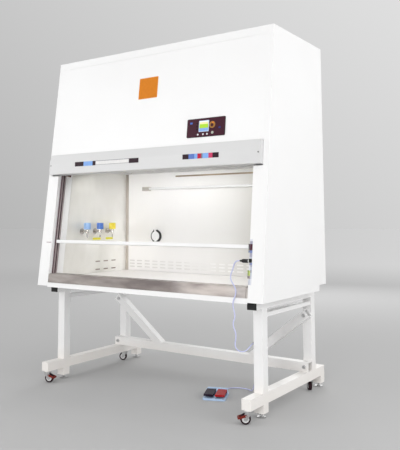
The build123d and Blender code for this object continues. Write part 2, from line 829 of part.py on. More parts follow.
def sash_rails():
    """The grip rail on the glass's lower edge and the hanger rail on its upper edge."""
    half = sash_rail_width / 2
    grip = front_block(-half, half, rail_z, rail_z + sash_rail_height, sash_rail_front, sash_rail_rear)
    grip = fillet(grip.edges().filter_by(Axis.X).group_by(Axis.Y)[0], 4)
    glass_room = front_block(-glass_width, glass_width, glass_bottom, glass_top,
                             sash_depth - glass / 2, sash_depth + glass / 2)
    hanger = front_block(-half, half, glass_top - glass_bite, glass_top + 8, 34, 50)
    lug = front_block(belt_x - 6, belt_x + 6, glass_top - 14, glass_top + 8, 50,
                      belt_front - closed_belt_gap)
    hanger += lug + mirrored(lug)
    return grip - glass_room, hanger - glass_room


def sash_motor():
    """Gear motor on the outer face of the right upper bracket."""
    x0 = chamber_half + sheet + seam
    place = front_frame * Pos(x0, up_front(drive_height), -belt_depth)
    gearbox = Pos(14, 0, 0) * Box(28, motor_size, motor_size)
    can = Rot(0, 90, 0) * Cylinder(motor_size / 2 - 4, motor_length - 28)
    can = Pos(14 + motor_length / 2, 0, 0) * can
    boss = Pos(-sheet / 2 - seam / 2, 0, 0) * Rot(0, 90, 0) * Cylinder(motor_boss, sheet + seam)
    bore = Rot(0, 90, 0) * Cylinder(shaft_radius + running_fit, 44)
    return place * (gearbox + can + boss - bore)


right_guide = sash_guide()
shaft_end = chamber_half + sheet + 14
drive = along_x(shaft_radius, -chamber_half + seam, shaft_end, drive_height)
drive += pulley(drive_height) + mirrored(pulley(drive_height))
node("sash_guides", right_guide, mirrored(right_guide))
node("sash_glass", front_block(-glass_width / 2, glass_width / 2, glass_bottom, glass_top,
                               sash_depth - glass / 2, sash_depth + glass / 2))
node("sash_rails", *sash_rails())
node("sash_drive_shaft", drive)
node("sash_idlers", idler(), mirrored(idler()))
node("sash_belts", belt(), mirrored(belt()))
node("sash_motor", sash_motor())


# ---------------------------------------------------------------- filters and blower
ceiling_front = front_y(chamber_ceiling, lip_depth)
filter_front = ceiling_front + filter_front_gap
filter_bottom = chamber_ceiling + sheet
filter_top = filter_bottom + filter_height
plenum_top = filter_top + plenum_height
blower_y = cabinet_front + blower_back


def pleated_filter(width, depth, height, x, y, z):
    """Filter cell: an open frame round a zigzag of pleated medium."""
    opening = Box(width - 2 * filter_frame, depth - 2 * filter_frame, height)
    cell = Pos(x, y, z) * (Box(width, depth, height) - opening)
    span = width - 2 * filter_frame
    pitch = span / pleats
    reach = height / 2 - 8
    top, bottom = [], []
    for fold in range(2 * pleats + 1):
        px = -span / 2 + fold * pitch / 2
        pz = reach if fold % 2 else -reach
        top.append((px, pz + pleat_sheet / 2))
        bottom.append((px, pz - pleat_sheet / 2))
    outline = Plane.XZ * Polyline(*top, *reversed(bottom), close=True)
    half = depth / 2 - filter_frame
    medium = extrude(make_face(outline), half, both=True)
    return cell + Pos(x, y, z) * medium


def diffuser():
    """Perforated ceiling sheet that spreads the supply air."""
    half = chamber_half - liner - seam
    plate = block(-half, half, ceiling_front, rear_wall - seam, chamber_ceiling, chamber_ceiling + sheet)
    plate += block(-half, half, ceiling_front, ceiling_front + sheet, chamber_ceiling,
                   chamber_ceiling + diffuser_fold)
    pitch_x = (filter_width - 2 * filter_frame) / diffuser_columns
    pitch_y = (filter_depth - 2 * filter_frame) / diffuser_rows
    for column in range(diffuser_columns):
        for row in range(diffuser_rows):
            x = (column + 0.5 - diffuser_columns / 2) * pitch_x
            y = filter_front + filter_frame + (row + 0.5) * pitch_y
            hole = Box(pitch_x - diffuser_web_x, pitch_y - diffuser_web_y, 2 * sheet)
            plate -= Pos(x, y, chamber_ceiling + sheet / 2) * hole
    return plate


def pressure_plenum():
    """Sheet box between the blower and the supply filter."""
    half = filter_width / 2
    rear, under = filter_front + filter_depth, plenum_top - sheet
    box = block(-half, half, filter_front, rear, filter_top, plenum_top)
    box -= block(sheet - half, half - sheet, filter_front + sheet, rear - sheet, filter_top, under)
    mouth = blower_housing_width / 2 - sheet
    return box - block(-mouth, mouth, outlet_front + sheet, outlet_rear - sheet, under, plenum_top)


def scroll_face(inset):
    """Volute outline in Y and Z: three quarter arcs that grow by one step, then the outlet."""
    radii = [scroll_start + scroll_step * turn - inset for turn in range(3)]
    first = (blower_y, blower_height)
    second = (first[0] - scroll_step, first[1])
    third = (second[0], second[1] - scroll_step)
    arcs = [
        CenterArc(first, radii[0], -90, 90),
        CenterArc(second, radii[1], 0, 90),
        CenterArc(third, radii[2], 90, 90),
    ]
    outlet = Polyline(
        (third[0] - radii[2], third[1]), (third[0] - radii[2], plenum_top - inset),
        (first[0] - inset, plenum_top - inset), (first[0] - inset, first[1] - radii[0]),
        (first[0], first[1] - radii[0]),
    ) if inset else Polyline(
        (third[0] - radii[2], third[1]), (third[0] - radii[2], plenum_top),
        (first[0], plenum_top), (first[0], first[1] - radii[0]),
    )
    return make_face([Plane.YZ * edge for edge in (*arcs, *outlet.edges())])


def blower_housing():
    """Scroll housing with an inlet on each side and the bars that hold the motor spindle."""
    half = blower_housing_width / 2
    housing = extrude(scroll_face(0), half, both=True)
    housing -= extrude(scroll_face(sheet), half - sheet, both=True)
    housing -= rod_x(blower_inlet_radius, -half, half, blower_y, blower_height)
    reach = blower_inlet_radius + 8
    for x in (-half - 4, half):
        bar = block(x, x + 4, blower_y - 9, blower_y + 9, blower_height - reach, blower_height + reach)
        housing += bar + rod_x(18, x, x + 4, blower_y, blower_height)
    return housing + rod_x(blower_shaft_radius, -half - 4, half + 4, blower_y, blower_height)


def blower_wheel():
    """Forward-curved double-inlet wheel on the can of its external-rotor motor."""
    half = blower_wheel_width / 2
    outer, inner = blower_wheel_radius, blower_wheel_radius - blower_blade_depth
    wheel = Cylinder(outer - 1, 3) + Cylinder(48, half * 1.2)
    for z in (-half, half - 3):
        wheel += Pos(0, 0, z + 1.5) * (Cylinder(outer, 3) - Cylinder(inner, 3))
    blade_arc = CenterArc((0, 0), blower_blade_depth * 0.62, -60, 120)
    blade = extrude(make_face(offset(blade_arc, 1.4, side=Side.LEFT)), half, both=True)
    middle = (outer + inner) / 2
    for index in range(blower_blades):
        turn = 360 / blower_blades * index
        wheel += Rot(0, 0, turn) * Pos(middle - 1, -blower_blade_depth * 0.45, 0) * Rot(0, 0, 90) * blade
    wheel -= Cylinder(blower_shaft_radius + running_fit, blower_wheel_width)
    return Pos(0, blower_y, blower_height) * Rot(0, 90, 0) * wheel


outlet_front = blower_y - 2 * scroll_step - scroll_start - scroll_step
outlet_rear = blower_y
node("supply_filter", pleated_filter(filter_width, filter_depth, filter_height, 0,
                                     filter_front + filter_depth / 2, filter_bottom + filter_height / 2))
node("diffuser_plate", diffuser())
node("pressure_plenum", pressure_plenum())
node("blower_housing", blower_housing())
node("blower_wheel", blower_wheel())
exhaust_z = cabinet_top - sheet - seam - exhaust_height / 2
node("exhaust_filter", pleated_filter(exhaust_width, exhaust_depth, exhaust_height, 0,
                                      exhaust_front + exhaust_depth / 2, exhaust_z))


# ---------------------------------------------------------------- lamps, socket and taps
light_y = ceiling_front + light_front_gap
light_z = chamber_ceiling - holder_height / 2
uv_y = rear_wall - holder_depth + tube_radius + 3


def lamp_tube(half_length, y, z):
    """Glass tube with a thin pin cap on each end."""
    return rod_x(tube_radius, -half_length, half_length, y, z)


def lamp_holder(x0, x1, y0, y1, z0, z1):
    """Lamp socket with rounded long edges."""
    return fillet(block(x0, x1, y0, y1, z0, z1).edges().filter_by(Axis.X), 3)


light_holder = lamp_holder(light_half_length + seam, light_half_length + holder_length, light_y - 13,
                           light_y + 13, chamber_ceiling - holder_height, chamber_ceiling - seam)
uv_holder = lamp_holder(uv_half_length + seam, uv_half_length + holder_length, rear_wall - holder_depth,
                        rear_wall - seam, uv_height - holder_height / 2, uv_height + holder_height / 2)
node("lamp_tubes", lamp_tube(light_half_length, light_y, light_z),
     lamp_tube(uv_half_length, uv_y, uv_height))
node("lamp_holders", light_holder, mirrored(light_holder), uv_holder, mirrored(uv_holder))

socket_face = rear_wall - socket_thickness
lid_hinge_z = socket_height + socket_lid_radius + socket_hinge_rise
socket_knuckle = socket_pin_radius + 2.0
lid_hinge_y = socket_face - socket_knuckle - seam


def wall_socket():
    """Round splash-proof socket with a flat foot and the ears of the lid's hinge."""
    body = rod_y(socket_radius, socket_face, rear_wall - seam, socket_x, socket_height)
    body = fillet(body.edges().group_by(Axis.Y)[0], 3)
    foot_z = socket_height - socket_radius + 6
    body -= block(socket_x - socket_radius, socket_x + socket_radius, socket_face, rear_wall,
                  foot_z - 20, foot_z)
    body -= rod_y(socket_bore, socket_face, socket_face + socket_recess, socket_x, socket_height)
    for x in (-14, 9):
        body += block(socket_x + x, socket_x + x + 5, lid_hinge_y - socket_knuckle, socket_face + 5,
                      lid_hinge_z - socket_knuckle, lid_hinge_z + socket_knuckle)
    return body + rod_x(socket_pin_radius, socket_x - 14, socket_x + 14, lid_hinge_y, lid_hinge_z)


def socket_lid():
    """Flip lid with its hinge barrel between the ears and a finger tab."""
    y0 = socket_face - seam - socket_lid_thickness
    lid = rod_y(socket_lid_radius - 1, y0, socket_face - seam, socket_x, socket_height)
    lid = fillet(lid.edges().group_by(Axis.Y)[0], 2)
    knuckle = rod_x(socket_knuckle, socket_x - 9 + seam, socket_x + 9 - seam, lid_hinge_y, lid_hinge_z)
    strap = block(socket_x - 9 + seam, socket_x + 9 - seam, y0, socket_face - seam - 1,
                  socket_height, lid_hinge_z)
    tab = block(socket_x - 8, socket_x + 8, y0, socket_face - seam - 1,
                socket_height - socket_lid_radius - 4, socket_height)
    pin = rod_x(socket_pin_radius + running_fit, socket_x - 20, socket_x + 20, lid_hinge_y, lid_hinge_z)
    return lid + knuckle + strap + tab - pin


node("wall_socket", wall_socket())
node("socket_lid", socket_lid())

tap_wall = -chamber_half + liner + seam
tap_x = tap_wall + tap_reach
tap_ys = [cabinet_front + tap_back + tap_pitch * index for index in range(tap_count)]
tap_body_top = tap_height + tap_body_height / 2
tap_names = ("front", "middle", "rear")


def service_tap(y):
    """Laboratory needle tap: wall flange, valve body, spindle and a ribbed hose nozzle."""
    tap = rod_x(18, tap_wall, tap_wall + 4, y, tap_height)
    tap += rod_x(tap_pipe_radius, tap_wall, tap_x, y, tap_height)
    tap += rod_z(tap_body_radius, tap_height - tap_body_height / 2, tap_body_top, tap_x, y)
    tap += rod_z(tap_spindle_radius, tap_body_top, tap_body_top + tap_knob_height - 2, tap_x, y)
    nozzle_profile = [
        (0, 0), (6, 0), (6, -8), (4, -10), (5, -15), (4, -16), (5, -21), (4, -22), (3, -28), (0, -28),
    ]
    nozzle = revolve(make_face(Plane.XZ * Polyline(*nozzle_profile, close=True)), Axis.Z)
    outlet = Pos(tap_x, y, tap_height - tap_body_height / 2) * nozzle
    return tap + outlet


def tap_knob(y):
    """Lobed hand knob on a tap's spindle."""
    knob = Cylinder(tap_knob_radius, tap_knob_height)
    knob = chamfer(knob.edges().group_by(Axis.Z)[-1], 3)
    for index in range(tap_knob_flutes):
        turn = Rot(0, 0, 360 / tap_knob_flutes * index)
        knob -= turn * Pos(tap_knob_radius + 3, 0, 0) * Cylinder(6, tap_knob_height)
    bottom = tap_body_top + seam
    socket = Cylinder(tap_spindle_radius + running_fit, tap_knob_height)
    knob = Pos(0, 0, tap_knob_height / 2) * knob - Pos(0, 0, tap_knob_height / 2 - 2) * socket
    return Pos(tap_x, y, bottom) * knob


node("service_taps", *[service_tap(y) for y in tap_ys])
for name, y in zip(tap_names, tap_ys):
    node(f"tap_knob_{name}", tap_knob(y))


# ---------------------------------------------------------------- service panel, plug and cord
panel_x = chamber_half - service_panel_thickness
jack_y = front_y(jack_height, jack_depth)


def service_panel():
    """Two thin connector plates on the right pillar's inner face and the jack between them."""
    plates = front_block(panel_x, chamber_half, service_panel_bottom, service_panel_top,
                         service_panel_front, service_panel_rear)
    jack = rod_x(jack_radius, panel_x - 6, panel_x, jack_y, jack_height)
    bore = rod_x(4 + seam, panel_x - 6, chamber_half, jack_y, jack_height)
    return plates + jack - bore


def foot_switch_plug():
    """Round plug with a pin in the jack and a tapered strain relief."""
    face = panel_x - 6 - seam
    profile = Polyline(
        (-7, 0), (-7, 4), (0, 4), (0, plug_radius), (plug_length - 4, plug_radius),
        (plug_length, plug_radius - 2), (plug_length, relief_radius + 1),
        (plug_length + relief_length, cord_diameter / 2 + 0.8), (plug_length + relief_length, 0), close=True,
    )
    plug = revolve(make_face(Plane.XY * profile), Axis.X)
    return Pos(face, jack_y, jack_height) * Rot(0, 0, 180) * plug


node("service_panel", service_panel())
node("foot_switch_plug", foot_switch_plug())
plug_end = Vector(panel_x - 6 - seam - plug_length - relief_length, jack_y, jack_height)

# ---------------------------------------------------------------- foot switch
foot_switch_y = cabinet_front + foot_switch_back
foot_switch_place = Pos(foot_switch_x, foot_switch_y, 0) * Rot(0, 0, foot_switch_turn)
pedal_front = -foot_switch_depth / 2 + 10
pedal_rear = pedal_front + pedal_length
pedal_pin_y = pedal_rear - 8
pedal_middle = pedal_width / 2 + 5


def foot_switch_base():
    """Moulded base: a flat rimmed plate, a hood at the back, three webs and the hinge pin."""
    half, deep = foot_switch_width / 2, foot_switch_depth / 2
    base = Box(foot_switch_width, foot_switch_depth, foot_switch_plate)
    base = Pos(0, 0, foot_switch_plate / 2) * fillet(base.edges().filter_by(Axis.Z), 14)
    hood_outline = [
        (pedal_rear + 3, 0), (pedal_rear + 3, foot_switch_rear), (deep - 10, foot_switch_rear),
        (deep - 1, foot_switch_plate), (deep - 1, 0),
    ]
    base += extrude_x(hood_outline, 6 - half, half - 6)
    web_outline = [
        (pedal_pin_y - 12, foot_switch_plate), (pedal_pin_y - 6, pedal_pin_height + 6),
        (pedal_rear + 3, foot_switch_rear - 2), (pedal_rear + 3, foot_switch_plate),
    ]
    for x0, x1 in ((2 - half, 4.5 - half), (-4, 4), (half - 4.5, half - 2)):
        base += extrude_x(web_outline, x0, x1)
    base += rod_x(pedal_pin_radius, 2 - half, half - 2, pedal_pin_y, pedal_pin_height)
    return foot_switch_place * base


def foot_switch_pedal(side):
    """One pedal: a wedge tread that tips on the rear pin."""
    low, high = foot_switch_plate + 9, pedal_pin_height + 4
    outline = [
        (pedal_front, low), (pedal_front + 3, low + pedal_thickness), (pedal_rear - 3, high + 3),
        (pedal_rear - 1, high), (pedal_rear - 2, pedal_pin_height - 5),
        (pedal_pin_y - 6, pedal_pin_height - 6),
        (pedal_pin_y - 18, low + 4), (pedal_front + 8, low),
    ]
    pedal = extrude_x(outline, -pedal_width / 2, pedal_width / 2)
    pin = rod_x(pedal_pin_radius + running_fit, -pedal_width, pedal_width, pedal_pin_y, pedal_pin_height)
    return foot_switch_place * Pos(side * pedal_middle, 0, 0) * (pedal - pin)


node("foot_switch_base", foot_switch_base())
node("foot_switch_pedal_left", foot_switch_pedal(-1))
node("foot_switch_pedal_right", foot_switch_pedal(1))

# The cord hangs in front of the apron, goes round behind the right front leg and over the floor.
cord_exit_x = 20.0
cord_exit_z = foot_switch_plate - cord_diameter / 2
cord_end, cord_lead = [
    Vector(*(foot_switch_place * Pos(cord_exit_x, foot_switch_depth / 2 + out, cord_exit_z)).position)
    for out in (0, 34)
]
cord_route = [
    plug_end,
    plug_end - Vector(17, 0, 0),
    Vector(584, -386, 733),
    Vector(583, -394, 716),
    Vector(581, -403, 697),
    Vector(577, -413, 677),
    Vector(583, -420, 652),
    Vector(602, -424, 632),
    Vector(615, -427, 608),
    Vector(611, -428, 583),
    Vector(600, -429, 559),
    Vector(597, -428, 534),
    Vector(606, -429, 508),
    Vector(609, -428, 482),
    Vector(598, -429, 459),
    Vector(600, -428, 436),
    Vector(613, -429, 412),
    Vector(612, -427, 386),
    Vector(605, -426, 358),
    Vector(609, -419, 334),
    Vector(621, -398, 320),
    Vector(627, -362, 318),
    Vector(627, -325, 330),
    Vector(626, -292, 343),
    Vector(622, -258, 338),
    Vector(612, -228, 306),
    Vector(600, -200, 265),
    Vector(584, -170, 218),
    Vector(565, -140, 168),
    Vector(540, -104, 120),
    Vector(508, -60, 78),
    Vector(474, -10, 44),
    Vector(440, 42, 20),
    Vector(414, 90, 6),
    Vector(375, 118, 4),
    Vector(325, 112, 5),
    Vector(285, 84, 4),
    Vector(271, 44, 5),
    cord_lead,
    cord_end,
]


def cord_radii(route):
    """Bend radius at each corner: as large as the two runs beside it allow."""
    radii = []
    for before, corner, after in zip(route, route[1:], route[2:]):
        inward, outward = corner - before, after - corner
        turn = radians(inward.get_angle(outward))
        radii.append(0.45 * min(inward.length, outward.length) / tan(turn / 2))
    return radii


def cord_tube():
    """The cord as a plain tube: straight runs joined by tangent arcs."""
    radii = cord_radii(cord_route)
    path = FilletPolyline(*cord_route, radius=radii)
    start = Plane(origin=path @ 0, z_dir=path % 0)
    tube_solid = sweep(start * Circle(cord_diameter / 2), path=path)
    section = 3.14159265 * cord_diameter ** 2 / 4
    ratio = tube_solid.volume / section / path.length
    print("cord length", round(path.length, 1), "volume ratio", round(ratio, 4))
    print("cord bend radii", [round(radius) for radius in radii])
    return tube_solid


node("foot_switch_cord", cord_tube())

for name, shape in nodes.items():
    shape.label = name
os.makedirs("parts", exist_ok=True)
for name, shape in nodes.items():
    export_step(shape, f"parts/{name}.step")
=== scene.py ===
# %% [markdown]
# Biosafety cabinet on its stand
#
# The bodies of the cabinet come from a CAD model, and this file dresses them: it gives each body
# its finish and adds the thin things that a CAD model leaves out, such as films, labels, keys and
# the soft line of a cord. We start by loading the model.

# %% Load the model
import json
import math

import bmesh
import bpy
from mathutils import Matrix, Vector


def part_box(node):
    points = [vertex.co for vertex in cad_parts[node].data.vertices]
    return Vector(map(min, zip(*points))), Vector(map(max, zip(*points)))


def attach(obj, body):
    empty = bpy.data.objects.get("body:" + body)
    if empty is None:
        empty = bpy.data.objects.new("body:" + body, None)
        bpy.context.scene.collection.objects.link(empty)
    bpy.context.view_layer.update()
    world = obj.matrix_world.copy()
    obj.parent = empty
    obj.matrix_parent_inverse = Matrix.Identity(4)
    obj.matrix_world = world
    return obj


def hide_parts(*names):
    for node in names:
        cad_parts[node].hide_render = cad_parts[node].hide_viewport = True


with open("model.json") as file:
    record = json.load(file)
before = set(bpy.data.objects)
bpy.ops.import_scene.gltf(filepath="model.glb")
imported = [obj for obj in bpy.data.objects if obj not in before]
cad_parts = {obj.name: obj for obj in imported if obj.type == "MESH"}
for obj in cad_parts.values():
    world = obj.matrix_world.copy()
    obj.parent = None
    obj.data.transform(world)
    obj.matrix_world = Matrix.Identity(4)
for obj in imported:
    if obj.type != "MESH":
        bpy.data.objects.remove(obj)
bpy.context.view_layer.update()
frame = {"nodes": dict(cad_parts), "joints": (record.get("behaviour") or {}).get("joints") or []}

nodes = frame["nodes"]
print("bodies of the cabinet:", len(nodes))

# %% [markdown]
# The camera
#
# A cabinet this wide is seen from well to its right and from the height of a seated user's eyes.
# A camera points along its own -Z, so tipping it past 90 degrees makes it look slightly up. The
# shift slides the picture sideways and down without turning the camera, which keeps the uprights
# of the stand parallel to each other, as an architect's camera does.

# %% Camera
lens = bpy.data.cameras.new("cabinet_view")
lens.lens = 50.65
lens.sensor_width = 36.0
lens.shift_x = 0.0605
lens.shift_y = -0.150
lens.clip_end = 100.0
camera = bpy.data.objects.new("cabinet_view", lens)
camera.location = (2.1283, -3.0858, 0.9448)
camera.rotation_euler = (math.radians(95.55), 0.0, math.radians(35.27))
bpy.context.collection.objects.link(camera)
bpy.context.scene.camera = camera

# %% [markdown]
# The foot switch's cord
#
# A limp cord of 6 mm hangs from its plug, swings back round the leg and ends at the switch. A
# NURBS curve draws it: its control points pull the line without it passing through them, so
# uneven points give the slack, wandering line of a real cord. The thickness is each point's own
# radius on a bevel of one metre, so that the curve's box is as slim as the cord. The order and
# the end points are set after the points exist, because a new spline forgets them.

# %% Cord
cord_route = [
    (0.6122, -0.3820, 0.745), (0.5952, -0.3820, 0.745), (0.584, -0.386, 0.733),
    (0.583, -0.394, 0.716), (0.581, -0.403, 0.697), (0.577, -0.413, 0.677),
    (0.583, -0.420, 0.652), (0.602, -0.424, 0.632), (0.615, -0.427, 0.608),
    (0.611, -0.428, 0.583), (0.600, -0.429, 0.559), (0.597, -0.428, 0.534),
    (0.606, -0.429, 0.508), (0.609, -0.428, 0.482), (0.598, -0.429, 0.459),
    (0.600, -0.428, 0.436), (0.613, -0.429, 0.412), (0.612, -0.427, 0.386),
    (0.605, -0.426, 0.358), (0.609, -0.419, 0.334), (0.621, -0.398, 0.320),
    (0.627, -0.362, 0.318), (0.627, -0.325, 0.330), (0.626, -0.292, 0.343),
    (0.622, -0.258, 0.338), (0.612, -0.228, 0.306), (0.600, -0.200, 0.265),
    (0.584, -0.170, 0.218), (0.565, -0.140, 0.168), (0.540, -0.104, 0.120),
    (0.508, -0.060, 0.078), (0.474, -0.010, 0.044), (0.440, 0.042, 0.020),
    (0.414, 0.090, 0.006), (0.375, 0.118, 0.004), (0.325, 0.112, 0.005),
    (0.285, 0.084, 0.004), (0.271, 0.044, 0.005), (0.2817, 0.0030, 0.007),
    (0.2941, -0.0286, 0.007),
]


def flexible_cord(name, route, radius):
    """A round cord drawn along its route by one smooth curve."""
    curve = bpy.data.curves.new(name, "CURVE")
    curve.dimensions = "3D"
    curve.bevel_depth = 1.0
    curve.bevel_resolution = 4
    curve.resolution_u = 8
    curve.use_fill_caps = True
    spline = curve.splines.new("NURBS")
    spline.points.add(len(route) - 1)
    for point, place in zip(spline.points, route):
        point.co = (*place, 1.0)
        point.radius = radius
    spline.order_u = 3
    spline.use_endpoint_u = True
    cord = bpy.data.objects.new(name, curve)
    bpy.context.collection.objects.link(cord)
    return cord


cord = flexible_cord("switch_cord", cord_route, 0.003)
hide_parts("foot_switch_cord")
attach(cord, "cabinet")

# %% [markdown]
# The backdrop
#
# The room is plain: a wide pale floor and a world of the same grey, so no horizon shows. The
# grey is a little lighter to the right and above, which a dot product with one fixed direction
# gives. The world takes that tone along each line of sight.

# %% World
backdrop_level = 0.551
backdrop_slope = (0.225, 0.159, 0.30)
backdrop_low, backdrop_high = 0.45, 0.80


def add_node(tree, kind, **settings):
    """A new shader node with its settings."""
    made = tree.nodes.new(kind)
    for name, value in settings.items():
        setattr(made, name, value)
    return made


def map_range(tree, value, source, target, **settings):
    """Maps one range of values onto another and returns the result's socket."""
    mapped = add_node(tree, "ShaderNodeMapRange", **settings)
    for end, bound in zip(("From Min", "From Max", "To Min", "To Max"), (*source, *target)):
        mapped.inputs[end].default_value = bound
    tree.links.new(value, mapped.inputs["Value"])
    return mapped.outputs["Result"]


def backdrop_tone(tree, direction, gain=1.0):
    """The backdrop's grey along a direction."""
    slope = add_node(tree, "ShaderNodeVectorMath", operation="DOT_PRODUCT")
    slope.inputs[1].default_value = backdrop_slope
    tree.links.new(direction, slope.inputs[0])
    return map_range(tree, slope.outputs["Value"],
                     (backdrop_low - backdrop_level, backdrop_high - backdrop_level),
                     (backdrop_low * gain, backdrop_high * gain))


world = bpy.data.worlds.new("room")
bpy.context.scene.world = world
world.use_nodes = True
backdrop = world.node_tree.nodes["Background"]
backdrop.inputs["Strength"].default_value = 1.0
sight = add_node(world.node_tree, "ShaderNodeTexCoord").outputs["Generated"]
world.node_tree.links.new(backdrop_tone(world.node_tree, sight), backdrop.inputs["Color"])

# %% [markdown]
# The floor
#
# Far from the lamps the floor would fall off to a dark band. So its colour runs, with the
# distance from the cabinet, into the tone that the world has beyond it as the camera sees it.
# The gain makes up for a floor that gives back less light than the world sends.

# %% Floor
floor_radius = 60.0
floor_near = 0.485
floor_gain = 1.41
fade_start, fade_end = 1.2, 11.0

floor_mesh = bpy.data.meshes.new("floor")
floor_drawing = bmesh.new()
bmesh.ops.create_circle(floor_drawing, cap_ends=True, segments=64, radius=floor_radius)
floor_drawing.to_mesh(floor_mesh)
floor_drawing.free()
floor = bpy.data.objects.new("floor", floor_mesh)
bpy.context.collection.objects.link(floor)
floor.location.z = -0.0005

floor_coat = bpy.data.materials.new("floor_grey")
floor_coat.use_nodes = True
floor_tree = floor_coat.node_tree
floor_shader = floor_tree.nodes["Principled BSDF"]
floor_shader.inputs["Roughness"].default_value = 1.0
floor_shader.inputs["Specular IOR Level"].default_value = 0.0
floor_place = add_node(floor_tree, "ShaderNodeTexCoord").outputs["Object"]
reach = add_node(floor_tree, "ShaderNodeVectorMath", operation="LENGTH")
from_eye = add_node(floor_tree, "ShaderNodeVectorMath", operation="SUBTRACT")
from_eye.inputs[1].default_value = (camera.location.x, camera.location.y, 0.0)
toward = add_node(floor_tree, "ShaderNodeVectorMath", operation="NORMALIZE")
floor_tree.links.new(floor_place, reach.inputs[0])
floor_tree.links.new(floor_place, from_eye.inputs[0])
floor_tree.links.new(from_eye.outputs["Vector"], toward.inputs[0])
fade = map_range(floor_tree, reach.outputs["Value"], (fade_start, fade_end), (floor_near, 1.0),
                 interpolation_type="SMOOTHSTEP")
far_tone = backdrop_tone(floor_tree, toward.outputs["Vector"], floor_gain)
floor_tree.links.new(far_tone, fade.node.inputs["To Max"])
floor_tree.links.new(fade, floor_shader.inputs["Base Color"])
floor_mesh.materials.append(floor_coat)

# %% [markdown]
# The lamps
#
# Five wide area lamps light the cabinet from around it at a plain level that keeps its white
# paint just below white. A narrow one under the chamber's ceiling stands for the working light.

# %% Lamps
lamp_table = [
    # name, place, target, width, height, power
    ("key_light", (2.6, -4.6, 3.4), (0.0, 0.0, 1.0), 2.6, 2.6, 42.0),
    ("left_fill", (-3.4, -3.6, 2.2), (0.0, 0.0, 0.8), 2.6, 2.6, 44.0),
    ("side_fill", (4.8, 0.4, 2.0), (0.0, 0.0, 0.7), 2.4, 2.4, 66.0),
    ("back_fill", (-1.5, 4.6, 3.0), (0.0, 0.0, 1.0), 2.6, 2.6, 66.0),
    ("low_fill", (1.4, -5.2, 0.9), (0.0, 0.0, 0.35), 1.6, 1.6, 88.0),
    ("work_light", (0.0, -0.12, 1.225), (0.0, 0.10, 0.60), 1.20, 0.12, 2.6),
]


def soft_light(name, place, target, width, height, power):
    """An area lamp that faces its target and isn't seen itself."""
    lamp = bpy.data.lights.new(name, "AREA")
    lamp.shape = "RECTANGLE"
    lamp.size = width
    lamp.size_y = height
    lamp.energy = power
    holder = bpy.data.objects.new(name, lamp)
    holder.location = place
    aim = Vector(target) - Vector(place)
    holder.rotation_euler = aim.to_track_quat("-Z", "Y").to_euler()
    holder.visible_camera = False
    bpy.context.collection.objects.link(holder)


for lamp_row in lamp_table:
    soft_light(*lamp_row)
bpy.context.scene.view_settings.view_transform = "Standard"

# %% [markdown]
# A helper for finishes
#
# Every finish is the Principled shader with a little life in it: a noise pattern that shifts the
# colour, another that shifts the roughness, and a fine one that lifts the surface as paint and
# moulded plastic do. They read Object coordinates, so the patterns are measured in metres and
# stay on their piece when it moves. Numbers that are the same everywhere stay on the shader.

# %% Finish helper
def pattern(tree, scale, detail=3.0, stretch=(1.0, 1.0, 1.0)):
    """A noise in metres, stretched along chosen axes."""
    place = add_node(tree, "ShaderNodeTexCoord")
    mapping = add_node(tree, "ShaderNodeMapping")
    mapping.inputs["Scale"].default_value = stretch
    noise = add_node(tree, "ShaderNodeTexNoise")
    noise.inputs["Scale"].default_value = scale
    noise.inputs["Detail"].default_value = detail
    tree.links.new(place.outputs["Object"], mapping.inputs["Vector"])
    tree.links.new(mapping.outputs["Vector"], noise.inputs["Vector"])
    return noise.outputs[0]


def spread(tree, source, low, high):
    """The noise's useful middle, spread between two values."""
    return map_range(tree, source, (0.3, 0.7), (low, high))


def finish(name, light, dark, rough, metal=0.0, patch=3.0, grain=300.0, bump=0.0,
           stretch=(1.0, 1.0, 1.0), coat=0.0, sheen=0.0):
    """A finish whose colour drifts from dark to light and whose roughness drifts with it."""
    made = bpy.data.materials.new(name)
    made.use_nodes = True
    tree = made.node_tree
    shader = tree.nodes["Principled BSDF"]
    shader.inputs["Metallic"].default_value = metal
    shader.inputs["Coat Weight"].default_value = coat
    shader.inputs["Coat Roughness"].default_value = 0.15
    shader.inputs["Sheen Weight"].default_value = sheen
    clouds = pattern(tree, patch, 4.0, stretch)
    blend = add_node(tree, "ShaderNodeMix", data_type="RGBA")
    blend.inputs[6].default_value = (*dark, 1.0)
    blend.inputs[7].default_value = (*light, 1.0)
    tree.links.new(spread(tree, clouds, 0.0, 1.0), blend.inputs[0])
    tree.links.new(blend.outputs[2], shader.inputs["Base Color"])
    fine = pattern(tree, grain, 2.0, stretch)
    tree.links.new(spread(tree, fine, rough[0], rough[1]), shader.inputs["Roughness"])
    if bump:
        lift = add_node(tree, "ShaderNodeBump")
        lift.inputs["Strength"].default_value = 0.35
        lift.inputs["Distance"].default_value = bump
        tree.links.new(fine, lift.inputs["Height"])
        tree.links.new(lift.outputs["Normal"], shader.inputs["Normal"])
    return made


def grey(value, warmth=0.0):
    """A grey, a little warm or cool."""
    return (value * (1.0 + warmth), value, value * (1.0 - warmth))


def less_shine(made, level=0.12):
    """Keeps a dark or printed surface from paling in the room's reflection."""
    made.node_tree.nodes["Principled BSDF"].inputs["Specular IOR Level"].default_value = level
    return made


# %% [markdown]
# Tones along an axis
#
# Sheet steel and paint catch and mirror the light around them, so one coat looks darker at one
# end of a panel than at the other. A colour ramp along one of the object's axes paints that shade
# and reflection into the colour: it is given as places in metres with a tone for each, and the
# finish's own colour is multiplied by it.

# %% Tone helper
white = (1.0, 1.0, 1.0)


